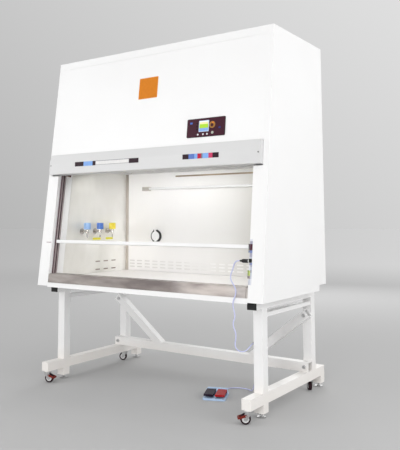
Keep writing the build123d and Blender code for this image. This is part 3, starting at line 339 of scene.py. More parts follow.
def place_along(tree, axis, both_sides=False):
    """The place along one axis, or its distance from the middle plane."""
    split = add_node(tree, "ShaderNodeSeparateXYZ")
    tree.links.new(add_node(tree, "ShaderNodeTexCoord").outputs["Object"], split.inputs[0])
    if not both_sides:
        return split.outputs[axis]
    size = add_node(tree, "ShaderNodeMath", operation="ABSOLUTE")
    tree.links.new(split.outputs[axis], size.inputs[0])
    return size.outputs[0]


def tone_by_place(made, axis, stops, both_sides=False):
    """Multiplies a finish's colour by tones along one axis, given as places and tones."""
    tree = made.node_tree
    coat_colour = tree.nodes["Principled BSDF"].inputs["Base Color"]
    own_colour = coat_colour.links[0].from_socket
    start, end = stops[0][0], stops[-1][0]
    ramp = add_node(tree, "ShaderNodeValToRGB")
    marks = ramp.color_ramp.elements
    marks[0].color = (*stops[0][1], 1.0)
    marks[-1].color = (*stops[-1][1], 1.0)
    for spot, tone in stops[1:-1]:
        marks.new((spot - start) / (end - start)).color = (*tone, 1.0)
    multiply = add_node(tree, "ShaderNodeMix", data_type="RGBA", blend_type="MULTIPLY")
    multiply.inputs[0].default_value = 1.0
    share = map_range(tree, place_along(tree, axis, both_sides), (start, end), (0.0, 1.0))
    tree.links.new(share, ramp.inputs["Fac"])
    tree.links.new(own_colour, multiply.inputs[6])
    tree.links.new(ramp.outputs["Color"], multiply.inputs[7])
    tree.links.new(multiply.outputs[2], coat_colour)


# %% [markdown]
# Paint
#
# The cabinet and its stand wear powder coat, a baked paint with the faint texture of an orange's
# skin: a fine bump of a few hundredths of a millimetre. The header is the same paint in light
# grey. Handling leaves powder coat a little duller in patches, which the slow noise gives. The
# foot bars are toned a little warm: this is a painted warm reflection of the floor on the stand's
# low parts.

# %% Painted finishes
body_coat = finish("body_coat", grey(0.86), grey(0.83, 0.004), (0.30, 0.38), patch=1.6,
                   grain=420.0, bump=0.00004)
stand_coat = finish("stand_coat", grey(0.84), grey(0.80, 0.01), (0.32, 0.42), patch=2.5,
                    grain=420.0, bump=0.00004)
header_coat = finish("header_coat", grey(0.66), grey(0.63), (0.32, 0.40), patch=2.0,
                     grain=420.0, bump=0.00004)
rail_coat = finish("rail_coat", grey(0.85), grey(0.82), (0.28, 0.36), patch=4.0, grain=420.0,
                   bump=0.00003)
diffuser_coat = finish("diffuser_coat", grey(0.74), grey(0.68), (0.35, 0.5), patch=5.0,
                       grain=600.0, bump=0.00003)
motor_coat = finish("motor_coat", grey(0.10), grey(0.07), (0.4, 0.55), patch=30.0, grain=900.0,
                    bump=0.00004)
tap_coat = finish("tap_coat", grey(0.74), grey(0.66), (0.25, 0.35), patch=30.0, grain=900.0,
                  bump=0.00002)
# Painted warm reflection: the low parts of the stand, the foot bars, are tinted warm.
tone_by_place(stand_coat, "Z", [
    (0.0, (1.0, 0.965, 0.925)), (0.10, (1.0, 0.97, 0.935)), (0.20, white), (1.0, white),
])

# %% [markdown]
# Plastic, rubber and paper
#
# Moulded parts have a finer grain than paint. The sash guides show a dark edge to the front and
# a lighter inner side, so their tone changes with the distance from the middle of the cabinet.
# Dark parts shine less, or the pale room would wash them out.

# %% Moulded finishes
guide_black = finish("guide_black", (0.32, 0.27, 0.27), (0.26, 0.21, 0.215), (0.35, 0.5),
                     patch=12.0, grain=600.0, bump=0.00003)
guide_front_tone = (0.25, 0.12, 0.16)
tone_by_place(guide_black, "X", [
    (0.650, white), (0.6582, white), (0.6590, guide_front_tone), (0.670, guide_front_tone),
], both_sides=True)
black_plastic = finish("black_plastic", grey(0.035), grey(0.02), (0.40, 0.55), patch=30.0,
                       grain=1500.0, bump=0.00005)
socket_white = finish("socket_white", grey(0.84), grey(0.80), (0.20, 0.30), patch=20.0,
                      grain=900.0, bump=0.00002)
socket_dark = finish("socket_dark", grey(0.06), grey(0.04), (0.35, 0.5), patch=20.0,
                     grain=900.0, bump=0.00003)
switch_grey = finish("switch_grey", (0.42, 0.55, 0.74), (0.36, 0.50, 0.70), (0.40, 0.55),
                     patch=20.0, grain=1200.0, bump=0.00005)
pedal_red = finish("pedal_red", (0.36, 0.006, 0.010), (0.30, 0.005, 0.008), (0.35, 0.5),
                   patch=25.0, grain=1500.0, bump=0.00005)
pedal_dark = finish("pedal_dark", (0.016, 0.006, 0.020), (0.011, 0.004, 0.015), (0.4, 0.5),
                    patch=25.0, grain=1500.0, bump=0.00005)
brake_red = finish("brake_red", (0.20, 0.03, 0.02), (0.16, 0.025, 0.02), (0.4, 0.5),
                   patch=25.0, grain=1500.0, bump=0.00005)
tyre_rubber = finish("tyre_rubber", (0.035, 0.018, 0.022), (0.025, 0.013, 0.016), (0.6, 0.8),
                     patch=40.0, grain=1200.0, bump=0.00006)
belt_rubber = finish("belt_rubber", grey(0.03), grey(0.02), (0.6, 0.75), patch=60.0,
                     grain=1500.0, bump=0.00005)
cord_skin = finish("cord_lavender", (0.56, 0.58, 0.80), (0.48, 0.50, 0.74), (0.4, 0.5),
                   patch=60.0, grain=2000.0, bump=0.00003)
holder_plastic = finish("lamp_holder", grey(0.50, 0.08), grey(0.40, 0.10), (0.4, 0.5),
                        patch=30.0, grain=900.0, bump=0.00003)
tube_glass = finish("lamp_tube", grey(0.90), grey(0.86), (0.15, 0.22), patch=20.0, coat=0.5)
filter_paper = finish("filter_paper", grey(0.86, 0.02), grey(0.78, 0.03), (0.8, 0.95),
                      patch=30.0, grain=900.0, bump=0.0001, sheen=0.2)
knob_pale = finish("knob_pale_blue", (0.30, 0.48, 0.78), (0.24, 0.42, 0.72), (0.25, 0.35),
                   coat=0.3)
knob_blue = finish("knob_blue", (0.05, 0.16, 0.52), (0.04, 0.12, 0.45), (0.25, 0.35), coat=0.3)
knob_yellow = finish("knob_yellow", (0.85, 0.72, 0.04), (0.78, 0.62, 0.03), (0.25, 0.35),
                     coat=0.3)
for dark_coat in (black_plastic, socket_dark):
    less_shine(dark_coat)
for dark_coat in (pedal_red, pedal_dark, brake_red, tyre_rubber):
    less_shine(dark_coat, 0.04)

# %% [markdown]
# Sheet steel
#
# Stainless sheet is ground with a belt, which leaves fine scratches in one direction. Stretching
# a noise along that direction draws them, and lets the roughness run in streaks. A slow cloudy
# change of tone is what the eye reads as a wiped and slightly uneven sheet. The tones along an
# axis are painted shade and reflection: they stand for the dark and light parts of a room that
# such a sheet mirrors. The apron's brown, mottled steel is, as a whole, a painted reflection of
# that dark room.

# %% Sheet steel
along_x = (0.02, 1.0, 1.0)
# Painted colours: a brown shade for the side walls' rear corner, and dark and light reflection
# bands for the apron.
rear_corner_painted_shade = (0.50, 0.44, 0.40)
apron_shade = (0.48, 0.455, 0.45)
apron_light = (0.92, 0.89, 0.88)

stainless = finish("stainless_sheet", (0.97, 0.955, 0.945), (0.90, 0.885, 0.87), (0.44, 0.52),
                   0.5, 3.0, 500.0, stretch=along_x)
side_steel = finish("stainless_side", (1.0, 0.99, 0.965), (0.80, 0.79, 0.74), (0.40, 0.50),
                    0.4, 5.0, 500.0, stretch=(1.0, 1.0, 0.6))
# Painted shade and reflection: the side walls are darker towards the front, and the thin strip at
# their rear corner is painted brown shade.
tone_by_place(side_steel, "Y", [
    (-0.30, (0.85, 0.845, 0.835)), (0.05, (0.86, 0.86, 0.85)), (0.20, white),
    (0.3060, white), (0.3068, rear_corner_painted_shade), (0.32, rear_corner_painted_shade),
])
# Painted shade and reflection: the side walls grow darker towards the top.
tone_by_place(side_steel, "Z", [
    (0.6, white), (0.85, (0.97, 0.97, 0.97)), (1.0, (0.88, 0.88, 0.88)),
    (1.25, (0.84, 0.84, 0.84)),
])
rear_steel = finish("stainless_rear", (0.98, 0.968, 0.962), (0.92, 0.908, 0.90), (0.44, 0.52),
                    0.5, 3.0, 500.0, stretch=along_x)
# Painted shade and reflection: the rear wall grows darker towards its right.
tone_by_place(rear_steel, "X", [
    (-0.70, white), (-0.45, white), (-0.25, (0.92, 0.92, 0.92)), (0.0, (0.84, 0.84, 0.83)),
    (0.15, (0.76, 0.76, 0.745)), (0.30, (0.63, 0.625, 0.60)), (0.70, (0.60, 0.595, 0.57)),
])
# Painted reflection: the apron's brown mottle and its dark and light bands along X stand for the
# dark room mirrored in the polished steel.
steel_painted_reflection = finish("stainless_painted_reflection", (0.68, 0.635, 0.60), (0.36, 0.32, 0.31), (0.36, 0.46),
                     0.35, 16.0, 500.0, stretch=(0.35, 1.0, 1.6))
tone_by_place(steel_painted_reflection, "X", [
    (-0.70, (0.60, 0.59, 0.58)), (-0.30, (0.62, 0.605, 0.595)), (-0.05, apron_shade),
    (0.22, apron_shade), (0.30, (0.97, 0.95, 0.94)), (0.40, apron_light), (0.54, apron_light),
    (0.62, white), (0.70, white),
])
# Painted shade and reflection: a dark brown strip under the ceiling, along the top of the rear
# wall.
ceiling_band_painted_shade = finish("ceiling_band_painted_shade", (0.42, 0.33, 0.22), (0.22, 0.16, 0.11), (0.35, 0.5),
                    0.4, 14.0, 500.0, stretch=(0.4, 1.0, 1.0))
slot_mesh = finish("slot_mesh", grey(0.86, 0.01), grey(0.70, 0.02), (0.45, 0.6), 0.4, 6.0,
                   2500.0, 0.0001)

# %% [markdown]
# Turned, plated and cast metal
#
# Small metal parts mirror more than the sheets do, so their patches are small and their grain is
# fine. Galvanised sheet keeps the spangle that its zinc froze into.

# %% Other metal finishes
zinc_steel = finish("zinc_steel", grey(0.62), grey(0.48), (0.30, 0.45), 1.0, 60.0, 900.0,
                    0.00002)
bolt_steel = finish("bolt_steel", grey(0.60), grey(0.50), (0.25, 0.40), 1.0, 90.0, 900.0,
                    0.00002)
galvanised = finish("galvanised_sheet", grey(0.66), grey(0.50), (0.30, 0.50), 1.0, 30.0, 200.0,
                    0.00001)
aluminium = finish("mill_aluminium", grey(0.74), grey(0.66), (0.25, 0.40), 1.0, 6.0, 700.0,
                   0.00001)
# Painted reflection: the taps' warm brown-grey stands for the dark room mirrored in their chrome.
tap_metal = finish("tap_metal", grey(0.60, 0.05), grey(0.40, 0.08), (0.20, 0.30), 1.0, 40.0,
                   900.0)
lock_steel = finish("lock_steel", grey(0.30), grey(0.18), (0.3, 0.4), 1.0, 80.0, 900.0, 0.00001)

# %% [markdown]
# The sash
#
# Six millimetres of clean safety glass is nearly invisible from the front. An index of
# refraction close to one keeps the thin sheet from mirroring the room over the chamber, and a
# whisper of colour in the base is the sheet's own.

# %% Glass
sash_glass = bpy.data.materials.new("sash_glass")
sash_glass.use_nodes = True
glass_tree = sash_glass.node_tree
glass_shader = glass_tree.nodes["Principled BSDF"]
glass_shader.inputs["Transmission Weight"].default_value = 1.0
glass_shader.inputs["IOR"].default_value = 1.02
glass_tint = add_node(glass_tree, "ShaderNodeMix", data_type="RGBA")
glass_tint.inputs[6].default_value = (0.982, 0.986, 0.984, 1.0)
glass_tint.inputs[7].default_value = (0.992, 0.994, 0.993, 1.0)
glass_tree.links.new(spread(glass_tree, pattern(glass_tree, 2.0), 0.0, 1.0),
                     glass_tint.inputs[0])
glass_tree.links.new(glass_tint.outputs[2], glass_shader.inputs["Base Color"])
glass_tree.links.new(spread(glass_tree, pattern(glass_tree, 6.0), 0.02, 0.05),
                     glass_shader.inputs["Roughness"])

# %% [markdown]
# Each body gets its finish
#
# One table says which bodies wear which finish. A body from the CAD model keeps its shape and
# only has its material changed.

# %% Dress the bodies
wardrobe = {
    body_coat: ["side_panel_left", "side_panel_right", "front_panel", "top_panel", "rear_panel",
                "base_pan"],
    stand_coat: ["stand_side_frame_left", "stand_side_frame_right", "rear_brace_frame"],
    header_coat: ["header_cover"],
    rail_coat: ["sash_rails"],
    guide_black: ["sash_guides"],
    black_plastic: ["rail_end_caps", "foot_switch_plug", "control_panel"],
    pedal_dark: ["foot_switch_pedal_left"],
    brake_red: ["caster_brake_front_left", "caster_brake_front_right"],
    holder_plastic: ["lamp_holders"],
    socket_white: ["socket_lid"],
    socket_dark: ["wall_socket"],
    switch_grey: ["foot_switch_base"],
    pedal_red: ["foot_switch_pedal_right"],
    tap_coat: ["service_panel"],
    tap_metal: ["service_taps"],
    knob_pale: ["tap_knob_front"],
    knob_blue: ["tap_knob_middle"],
    knob_yellow: ["tap_knob_rear"],
    stainless: ["work_surface"],
    rear_steel: ["rear_wall_liner"],
    steel_painted_reflection: ["front_grille", "drain_plug"],
    side_steel: ["side_wall_liner_left", "side_wall_liner_right"],
    zinc_steel: [name for name in nodes if name.startswith(("levelling_foot", "caster_fork"))],
    tyre_rubber: [name for name in nodes if name.startswith("caster_wheel")],
    bolt_steel: ["stand_bolts"],
    aluminium: ["sash_drive_shaft", "sash_idlers"],
    belt_rubber: ["sash_belts"],
    motor_coat: ["sash_motor"],
    filter_paper: ["supply_filter", "exhaust_filter"],
    diffuser_coat: ["diffuser_plate"],
    galvanised: ["pressure_plenum", "blower_housing", "blower_wheel"],
    tube_glass: ["lamp_tubes"],
    sash_glass: ["sash_glass"],
    cord_skin: ["foot_switch_cord"],
}


def dress(piece, coat):
    """Give a piece one finish."""
    piece.data.materials.clear()
    piece.data.materials.append(coat)


for coat, names in wardrobe.items():
    for name in names:
        dress(nodes[name], coat)
dress(cord, cord_skin)
print("undressed:", sorted(set(nodes) - {name for names in wardrobe.values() for name in names}))

# %% [markdown]
# Places on the leaning front
#
# The front leans back, so flat things on it are easiest to draw lying down and then stand up
# against it. The sash slides along the front, so its joint gives the direction up the face, and
# the lowest front corner of a side panel gives the face's foot.

# %% Front of the cabinet
sash_joint = next(joint for joint in frame["joints"] if joint["name"] == "sash_slide")
up_face = Vector(sash_joint["axis"]).normalized()
out_of_face = Vector((0.0, -up_face.z, up_face.y))
face_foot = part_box("side_panel_left")[0]


def on_front(x, z, out=0.0):
    """The point of the leaning front at a height, and a distance out of it."""
    rise = (z - face_foot.z) / up_face.z
    place = Vector((x, face_foot.y, face_foot.z)) + up_face * rise
    return place + out_of_face * out


def front_matrix(x, z, out=0.0):
    """Stands a drawing in X and Y up against the front, with its Z out of the face."""
    turn = Matrix((Vector((1, 0, 0)), up_face, out_of_face)).transposed().to_4x4()
    return Matrix.Translation(on_front(x, z, out)) @ turn


def as_piece(bm, name, coat, body, place=Matrix.Identity(4)):
    """Turns a drawing into a piece of the cabinet, in its place."""
    bmesh.ops.remove_doubles(bm, verts=bm.verts, dist=1e-6)
    bmesh.ops.recalc_face_normals(bm, faces=bm.faces)
    bm.transform(place)
    mesh = bpy.data.meshes.new(name)
    bm.to_mesh(mesh)
    bm.free()
    piece = bpy.data.objects.new(name, mesh)
    bpy.context.collection.objects.link(piece)
    dress(piece, coat)
    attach(piece, body)
    return piece


# %% [markdown]
# Films and plates
#
# Labels, films and signs are thin plates with rounded corners. A grid of one face is scaled to
# the size, its corners are bevelled in the plane, and the face is extruded to a thickness. On
# the front, a last small bevel breaks the outer edge so that it catches the light.

# %% Plate helpers
def film(name, colour, gloss=0.25):
    """A printed film of one colour, faintly mottled."""
    darker = tuple(channel * 0.92 for channel in colour)
    return less_shine(finish(name, colour, darker, (gloss, gloss + 0.1), patch=60.0,
                             grain=1500.0, bump=0.00001))


def raised(bm, thick):
    """Extrudes a flat drawing to a thickness and returns the corners of its top."""
    grown = bmesh.ops.extrude_face_region(bm, geom=bm.faces[:])
    top = [item for item in grown["geom"] if isinstance(item, bmesh.types.BMVert)]
    bmesh.ops.translate(bm, vec=(0.0, 0.0, thick), verts=top)
    return top


def soften(bm, top, width, steps):
    """Breaks the edge round the top of a raised drawing."""
    rim = [edge for edge in bm.edges if all(vert in top for vert in edge.verts)]
    bmesh.ops.bevel(bm, geom=rim, offset=width, affect="EDGES", segments=steps, profile=0.5,
                    material=-1)


def rounded_sheet(width, height, corner, steps):
    """A flat drawing of a rectangle with rounded corners."""
    bm = bmesh.new()
    bmesh.ops.create_grid(bm, x_segments=1, y_segments=1, size=0.5)
    bmesh.ops.scale(bm, vec=(width, height, 1.0), verts=bm.verts)
    bmesh.ops.bevel(bm, geom=bm.verts[:], offset=corner, affect="VERTICES", segments=steps,
                    profile=0.5, material=-1)
    return bm


def plate(name, coat, slot, x0, x1, z0, z1, out, thick=0.0008, corner=0.002):
    """A thin plate with rounded corners, laid on the front."""
    bm = rounded_sheet(x1 - x0, (z1 - z0) / up_face.z, corner, 4)
    soften(bm, raised(bm, thick), thick * 0.3, 1)
    return as_piece(bm, name, coat, "cabinet",
                    front_matrix((x0 + x1) / 2, (z0 + z1) / 2, out))


def disc(name, coat, slot, x, z, out, radius, thick):
    """A round key or lock face on the front, with a softened edge."""
    bm = bmesh.new()
    bmesh.ops.create_circle(bm, cap_ends=True, segments=32, radius=radius)
    soften(bm, raised(bm, thick), thick * 0.4, 2)
    return as_piece(bm, name, coat, "cabinet", front_matrix(x, z, out))


# %% [markdown]
# The sign's place
#
# Such cabinets carry an orange sign in the middle of the front panel. Here it stays a plain
# orange plate with a slightly lighter border, held as a sticker lies: almost flush.

# %% Sign
sign_orange = film("sign_orange", (0.66, 0.21, 0.016), 0.35)
sign_border = film("sign_border", (0.74, 0.30, 0.06), 0.35)
plate("front_sign", sign_border, "keypad_film", -0.090, 0.043, 1.622, 1.745, 0.0001, 0.0006,
      0.003)
plate("front_sign_field", sign_orange, "keypad_film", -0.086, 0.039, 1.6255, 1.7415, 0.0006,
      0.0004, 0.002)

# %% [markdown]
# The display
#
# The display's four bands are one material: the height on the cabinet picks the colour from a
# ramp without any blending, as the segments of such a display look from afar.

# %% Display glass
def banded(name, foot, bands):
    """A film whose colour changes with height, in bands given by their tops from the foot up."""
    made = film(name, bands[0][1])
    tree = made.node_tree
    ramp = add_node(tree, "ShaderNodeValToRGB")
    ramp.color_ramp.interpolation = "CONSTANT"
    marks = ramp.color_ramp.elements
    height = bands[-1][0]
    start = 0.0
    for index, (top, colour) in enumerate(bands):
        mark = marks.new(start) if index else marks[0]
        mark.position = start
        mark.color = (*colour, 1.0)
        start = top / height
    marks.remove(marks[-1])
    share = map_range(tree, place_along(tree, "Z"), (foot, foot + height), (0.0, 1.0))
    tree.links.new(share, ramp.inputs["Fac"])
    tree.links.new(ramp.outputs["Color"], tree.nodes["Principled BSDF"].inputs["Base Color"])
    return made


display_glass = banded("display_glass", 1.400, [
    (0.018, (0.25, 0.42, 0.78)), (0.039, (0.42, 0.70, 0.05)), (0.050, (0.90, 0.82, 0.45)),
    (0.058, (0.88, 0.92, 0.96)),
])

# %% [markdown]
# The keypad
#
# The keypad is a dark printed film on its bezel, with the display, a few lamps and domed keys on
# it. Each plate or disc is listed with its colour, its place on the front and the distance out of
# the front at which it starts.

# %% Keypad
film_foot, film_face = 0.0041, 0.0045
rim_face, inlay_face = 0.0050, 0.0053
keypad_film = film("keypad_film_dark", (0.058, 0.016, 0.028), 0.2)
display_frame = film("display_frame", (0.55, 0.66, 0.86), 0.15)
key_white = film("key_white", (0.70, 0.68, 0.70))
key_grey = film("key_grey", (0.45, 0.47, 0.40))
lamp_blue = film("lamp_blue", (0.08, 0.16, 0.55))
lamp_navy = film("lamp_navy", (0.03, 0.04, 0.18))
lamp_dark = film("lamp_dark", (0.004, 0.004, 0.006))
dial_amber = film("dial_amber", (0.36, 0.17, 0.04))
dial_orange = film("dial_orange", (0.85, 0.24, 0.03))

keypad_plates = [
    # name, coat, left, right, foot, top, distance, thickness, corner
    ("keypad_sheet", keypad_film, 0.2645, 0.4955, 1.3725, 1.4695, film_foot, 0.0004, 0.005),
    ("display_rim", display_frame, 0.338, 0.400, 1.398, 1.458, film_face, 0.0005, 0.003),
    ("display_window", display_glass, 0.342, 0.396, 1.402, 1.455, rim_face, 0.0004, 0.002),
    ("keypad_mark", lamp_blue, 0.282, 0.297, 1.443, 1.453, film_face, 0.0003, 0.001),
    ("keypad_lamp_right", lamp_navy, 0.459, 0.471, 1.409, 1.419, film_face, 0.0003, 0.001),
]
keypad_discs = [
    # name, coat, x, z, distance, radius, thickness
    ("keypad_lamp_0", lamp_dark, 0.327, 1.444, film_face, 0.0045, 0.0006),
    ("keypad_lamp_1", lamp_dark, 0.327, 1.428, film_face, 0.0045, 0.0006),
    ("keypad_lamp_2", lamp_dark, 0.327, 1.412, film_face, 0.0045, 0.0006),
    ("keypad_key_0", key_white, 0.334, 1.3845, film_face, 0.0052, 0.0008),
    ("keypad_key_1", key_white, 0.366, 1.3845, film_face, 0.0052, 0.0008),
    ("keypad_key_2", key_white, 0.391, 1.3845, film_face, 0.0052, 0.0008),
    ("keypad_key_mode", key_grey, 0.423, 1.390, film_face, 0.0075, 0.0008),
    ("keypad_dial", dial_amber, 0.420, 1.432, film_face, 0.0185, 0.0008),
    ("keypad_dial_centre", keypad_film, 0.419, 1.430, inlay_face, 0.0090, 0.0003),
    ("keypad_dial_mark", dial_orange, 0.424, 1.443, inlay_face, 0.0045, 0.0004),
]
for make, rows in ((plate, keypad_plates), (disc, keypad_discs)):
    for name, coat, *sizes in rows:
        make(name, coat, "keypad_film", *sizes)

# %% [markdown]
# The header's strips
#
# Two long printed strips lie on the lower plane of the header, just under its crease. Each is a
# row of colour blocks. The lower plane leans a little more than the panel above, so a strip's
# distance out of the front grows from its lower edge to the crease.

# %% Header strips
header_foot, header_crease = 1.211, 1.278
foot_out, crease_out = 0.029, 0.034


def header_out(z):
    """How far the header's lower plane stands out of the front at a height."""
    share = (z - header_foot) / (header_crease - header_foot)
    return foot_out + (crease_out - foot_out) * share


strip_dark = film("strip_dark", (0.035, 0.018, 0.025))
strip_sky = film("strip_sky", (0.24, 0.42, 0.80))
strip_pale = film("strip_pale", (0.80, 0.79, 0.78))
strip_red = film("strip_red", (0.50, 0.02, 0.05))
strip_pink = film("strip_pink", (0.58, 0.06, 0.14))
strip_grey = film("strip_grey", (0.22, 0.20, 0.24))
strip_blue = film("strip_blue", (0.12, 0.20, 0.52))
strip_foot, strip_top = 1.2505, 1.2765
left_blocks = [
    ("end_left", strip_dark, -0.507, -0.438), ("sky", strip_sky, -0.438, -0.367),
    ("gap", strip_dark, -0.367, -0.344), ("end_right", strip_dark, -0.094, -0.027),
]
right_blocks = [
    ("end_left", strip_dark, 0.266, 0.304), ("blue", strip_blue, 0.304, 0.340),
    ("sky_left", strip_sky, 0.340, 0.359), ("red", strip_red, 0.359, 0.381),
    ("grey", strip_grey, 0.381, 0.390), ("sky", strip_sky, 0.390, 0.426),
    ("pink", strip_pink, 0.426, 0.450), ("end_right", strip_dark, 0.450, 0.487),
]


def strip_block(name, coat, x0, x1, z0=strip_foot, z1=strip_top, lift=0.0002, thick=0.0006):
    """One block of a strip, laid on the header's lower plane."""
    piece = plate(name, coat, "header_coat", x0, x1, z0, z1, 0.0, thick, 0.0006)
    tilt = math.atan2((crease_out - foot_out) * up_face.z, header_crease - header_foot)
    middle = (z0 + z1) / 2
    hinge = on_front((x0 + x1) / 2, middle)
    swing = Matrix.Rotation(tilt, 4, "X")
    move = Matrix.Translation(out_of_face * (header_out(middle) + lift))
    piece.data.transform(move @ Matrix.Translation(hinge) @ swing @ Matrix.Translation(-hinge))
    return piece


for side, blocks in (("left", left_blocks), ("right", right_blocks)):
    for label, coat, x0, x1 in blocks:
        strip_block(f"strip_{side}_{label}", coat, x0, x1)
strip_block("strip_label_rim", strip_grey, -0.344, -0.094, strip_foot + 0.002)
strip_block("strip_label", strip_pale, -0.342, -0.096, strip_foot + 0.0035, strip_top - 0.003,
            lift=0.0008)

# %% [markdown]
# The header's locks
#
# A quarter-turn lock at each end holds the header shut. From outside only its round face shows.

# %% Locks
lock_reach, lock_height, lock_radius = 0.709, 1.2645, 0.0045
for side, sign in (("left", -1.0), ("right", 1.0)):
    disc(f"header_lock_{side}", lock_steel, "header_coat", sign * lock_reach, lock_height,
         header_out(lock_height), lock_radius, 0.0012)

# %% [markdown]
# Plates on the side walls
#
# A thin mark on the left pillar shows the safe height of the sash, and two yellow tags hang under
# the taps. A plate on a side wall is drawn lying down and then turned to face across the chamber.

# %% Wall plates
def wall_matrix(x, y, z, facing):
    """Stands a drawing against a side wall, facing along +X or -X."""
    across = Vector((0.0, facing, 0.0))
    turn = Matrix((across, Vector((0, 0, 1)), Vector((facing, 0, 0)))).transposed().to_4x4()
    return Matrix.Translation((x, y, z)) @ turn


def wall_plate(name, coat, x, y0, y1, z0, z1, facing, thick=0.0008, corner=0.0015):
    """A thin plate on a side wall, drawn flat and stood up by its matrix."""
    bm = rounded_sheet(abs(y1 - y0), z1 - z0, corner, 3)
    raised(bm, thick)
    return as_piece(bm, name, coat, "cabinet",
                    wall_matrix(x, (y0 + y1) / 2, (z0 + z1) / 2, facing))


sash_mark = film("sash_mark", (0.42, 0.30, 0.34))
plate("sash_height_mark", sash_mark, "service_film", -0.712, -0.672, 0.8045, 0.8085, 0.0001,
      0.0004, 0.0008)
tag_yellow = film("tag_yellow", (0.80, 0.74, 0.06), 0.35)
tag_foot, tag_top = 0.812, 0.826
left_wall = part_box("side_wall_liner_left")[1].x
for place, y0, y1 in (("front", -0.051, 0.025), ("rear", 0.074, 0.144)):
    wall_plate(f"tap_tag_{place}", tag_yellow, left_wall, y0, y1, tag_foot, tag_top,
               1.0)

# %% [markdown]
# Connector plates on the right pillar
#
# The inner edge of the right pillar carries small coloured connector plates: one wide column
# above the foot switch's jack and two narrow ones below it. Each block is given by its lower and
# upper height. A few of them run on round the edge, over the plate on the pillar's inner face.

# %% Connector plates
service_lavender = film("service_lavender", (0.36, 0.36, 0.45))
service_pale = film("service_pale", (0.52, 0.54, 0.62))
service_light = film("service_light", (0.70, 0.71, 0.77))
service_blue = film("service_blue", (0.18, 0.24, 0.47))
service_dark = film("service_dark", (0.075, 0.023, 0.037))
service_green = film("service_green", (0.50, 0.62, 0.14))
service_brown = film("service_brown", (0.31, 0.26, 0.26))
inner_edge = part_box("side_panel_right")[0].x
inner_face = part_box("service_panel")[0].x

service_columns = [
    # column, left and right from the inner edge, blocks
    ("upper", 0.0012, 0.0155, [
        ("head", service_light, 0.840, 0.849), ("lavender", service_lavender, 0.826, 0.840),
        ("dark", service_dark, 0.796, 0.826), ("blue", service_blue, 0.7845, 0.796),
        ("foot", service_lavender, 0.766, 0.7845), ("end", service_pale, 0.7575, 0.766),
    ]),
    ("inner", 0.0008, 0.0078, [
        ("head", service_lavender, 0.727, 0.7375), ("pale", service_light, 0.702, 0.727),
        ("green", service_green, 0.677, 0.702), ("brown", service_brown, 0.663, 0.677),
        ("grey", service_pale, 0.635, 0.663),
    ]),
    ("outer", 0.0080, 0.0165, [
        ("blue", service_blue, 0.7285, 0.7375), ("lavender", service_lavender, 0.719, 0.7285),
        ("pale", service_pale, 0.705, 0.719), ("middle", service_lavender, 0.691, 0.705),
        ("grey", service_pale, 0.663, 0.691), ("foot", service_light, 0.635, 0.663),
    ]),
]
for column, left, right, blocks in service_columns:
    for label, coat, z0, z1 in blocks:
        plate(f"service_{column}_{label}", coat, "service_film", inner_edge + left,
              inner_edge + right, z0, z1, 0.0001, 0.0006, 0.0006)

# How far behind the front the blocks on the inner face start and end.
side_depths = (0.0045, 0.0215)
side_blocks = [
    ("dark", service_dark, 0.796, 0.826), ("blue", service_blue, 0.7845, 0.795),
    ("green", service_green, 0.677, 0.702), ("brown", service_brown, 0.664, 0.676),
]
for label, coat, z0, z1 in side_blocks:
    y0, y1 = (on_front(0.0, (z0 + z1) / 2, -depth).y for depth in side_depths)
    wall_plate(f"service_side_{label}", coat, inner_face, y0, y1, z0, z1, -1.0,
               0.0006, 0.001)

# %% [markdown]
# The jack's cover
#
# The foot switch's plug meets the strips at a small black moulding on the pillar's edge. It is a
# rounded block: a cube is scaled, and all its edges are bevelled.

# %% Jack cover
def block(size, soft, steps):
    """A drawing of a block with softened edges, around the origin."""
    bm = bmesh.new()
    bmesh.ops.create_cube(bm, size=1.0)
    bmesh.ops.scale(bm, vec=size, verts=bm.verts)
    bmesh.ops.bevel(bm, geom=bm.edges[:], offset=soft, affect="EDGES", segments=steps,
                    profile=0.5, material=-1)
    return bm


jack_size = (0.016, 0.0185, 0.006)
jack_height, jack_inset, jack_out = 0.7475, 0.0075, 0.0028
as_piece(block(jack_size, 0.002, 3), "jack_cover", black_plastic, "cabinet",
         front_matrix(inner_edge + jack_inset, jack_height, jack_out))

# %% [markdown]
# Behind the slots, under the ceiling, and the ends of the apron
#
# Air leaves the chamber through its slots into a narrow shaft, and a fine steel mesh behind the
# rear slots keeps wipes out. From outside it reads as a sheet just behind each slot. Behind the
# side walls' slots a dark brown sheet is painted shade, the shade that those slots look into. A
# thin brown strip along the top of the rear wall is painted shade and reflection under the
# ceiling. The apron stops short of the pillars at the sash guides, and a slip of the same steel
# closes each end.

# %% Slot mesh, painted shade strips and apron ends
def upright_sheet(name, coat, x0, x1, z0, z1, y, thick):
    """A thin upright sheet that faces the user."""
    bm = block((x1 - x0, thick, z1 - z0), thick * 0.2, 1)
    middle = Matrix.Translation(((x0 + x1) / 2, y, (z0 + z1) / 2))
    return as_piece(bm, name, coat, "cabinet", middle)


slot_foot, slot_top = 0.612, 0.682
side_slot_front, side_slot_rear = -0.02, 0.22
shade_band_left, shade_band_right = -0.25, 0.64
shade_band_foot, shade_band_top, shade_band_back = 1.2185, 1.2285, 0.3085
rear_low, rear_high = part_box("rear_wall_liner")
grille_low, grille_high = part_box("front_grille")
liner_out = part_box("side_wall_liner_right")[1].x
# Painted shade: the dark brown seen through the side walls' slots.
side_slot_shade_sheet = film("side_slot_painted_shade", (0.34, 0.29, 0.26), 0.5)

upright_sheet("rear_slot_mesh", slot_mesh, rear_low.x + 0.02, rear_high.x - 0.02,
              slot_foot, slot_top, rear_high.y + 0.0012, 0.0010)
# Painted shade and reflection: a thin brown strip along the top of the rear wall.
upright_sheet("ceiling_painted_shade_strip", ceiling_band_painted_shade, shade_band_left, shade_band_right, shade_band_foot,
              shade_band_top, shade_band_back, 0.0008)
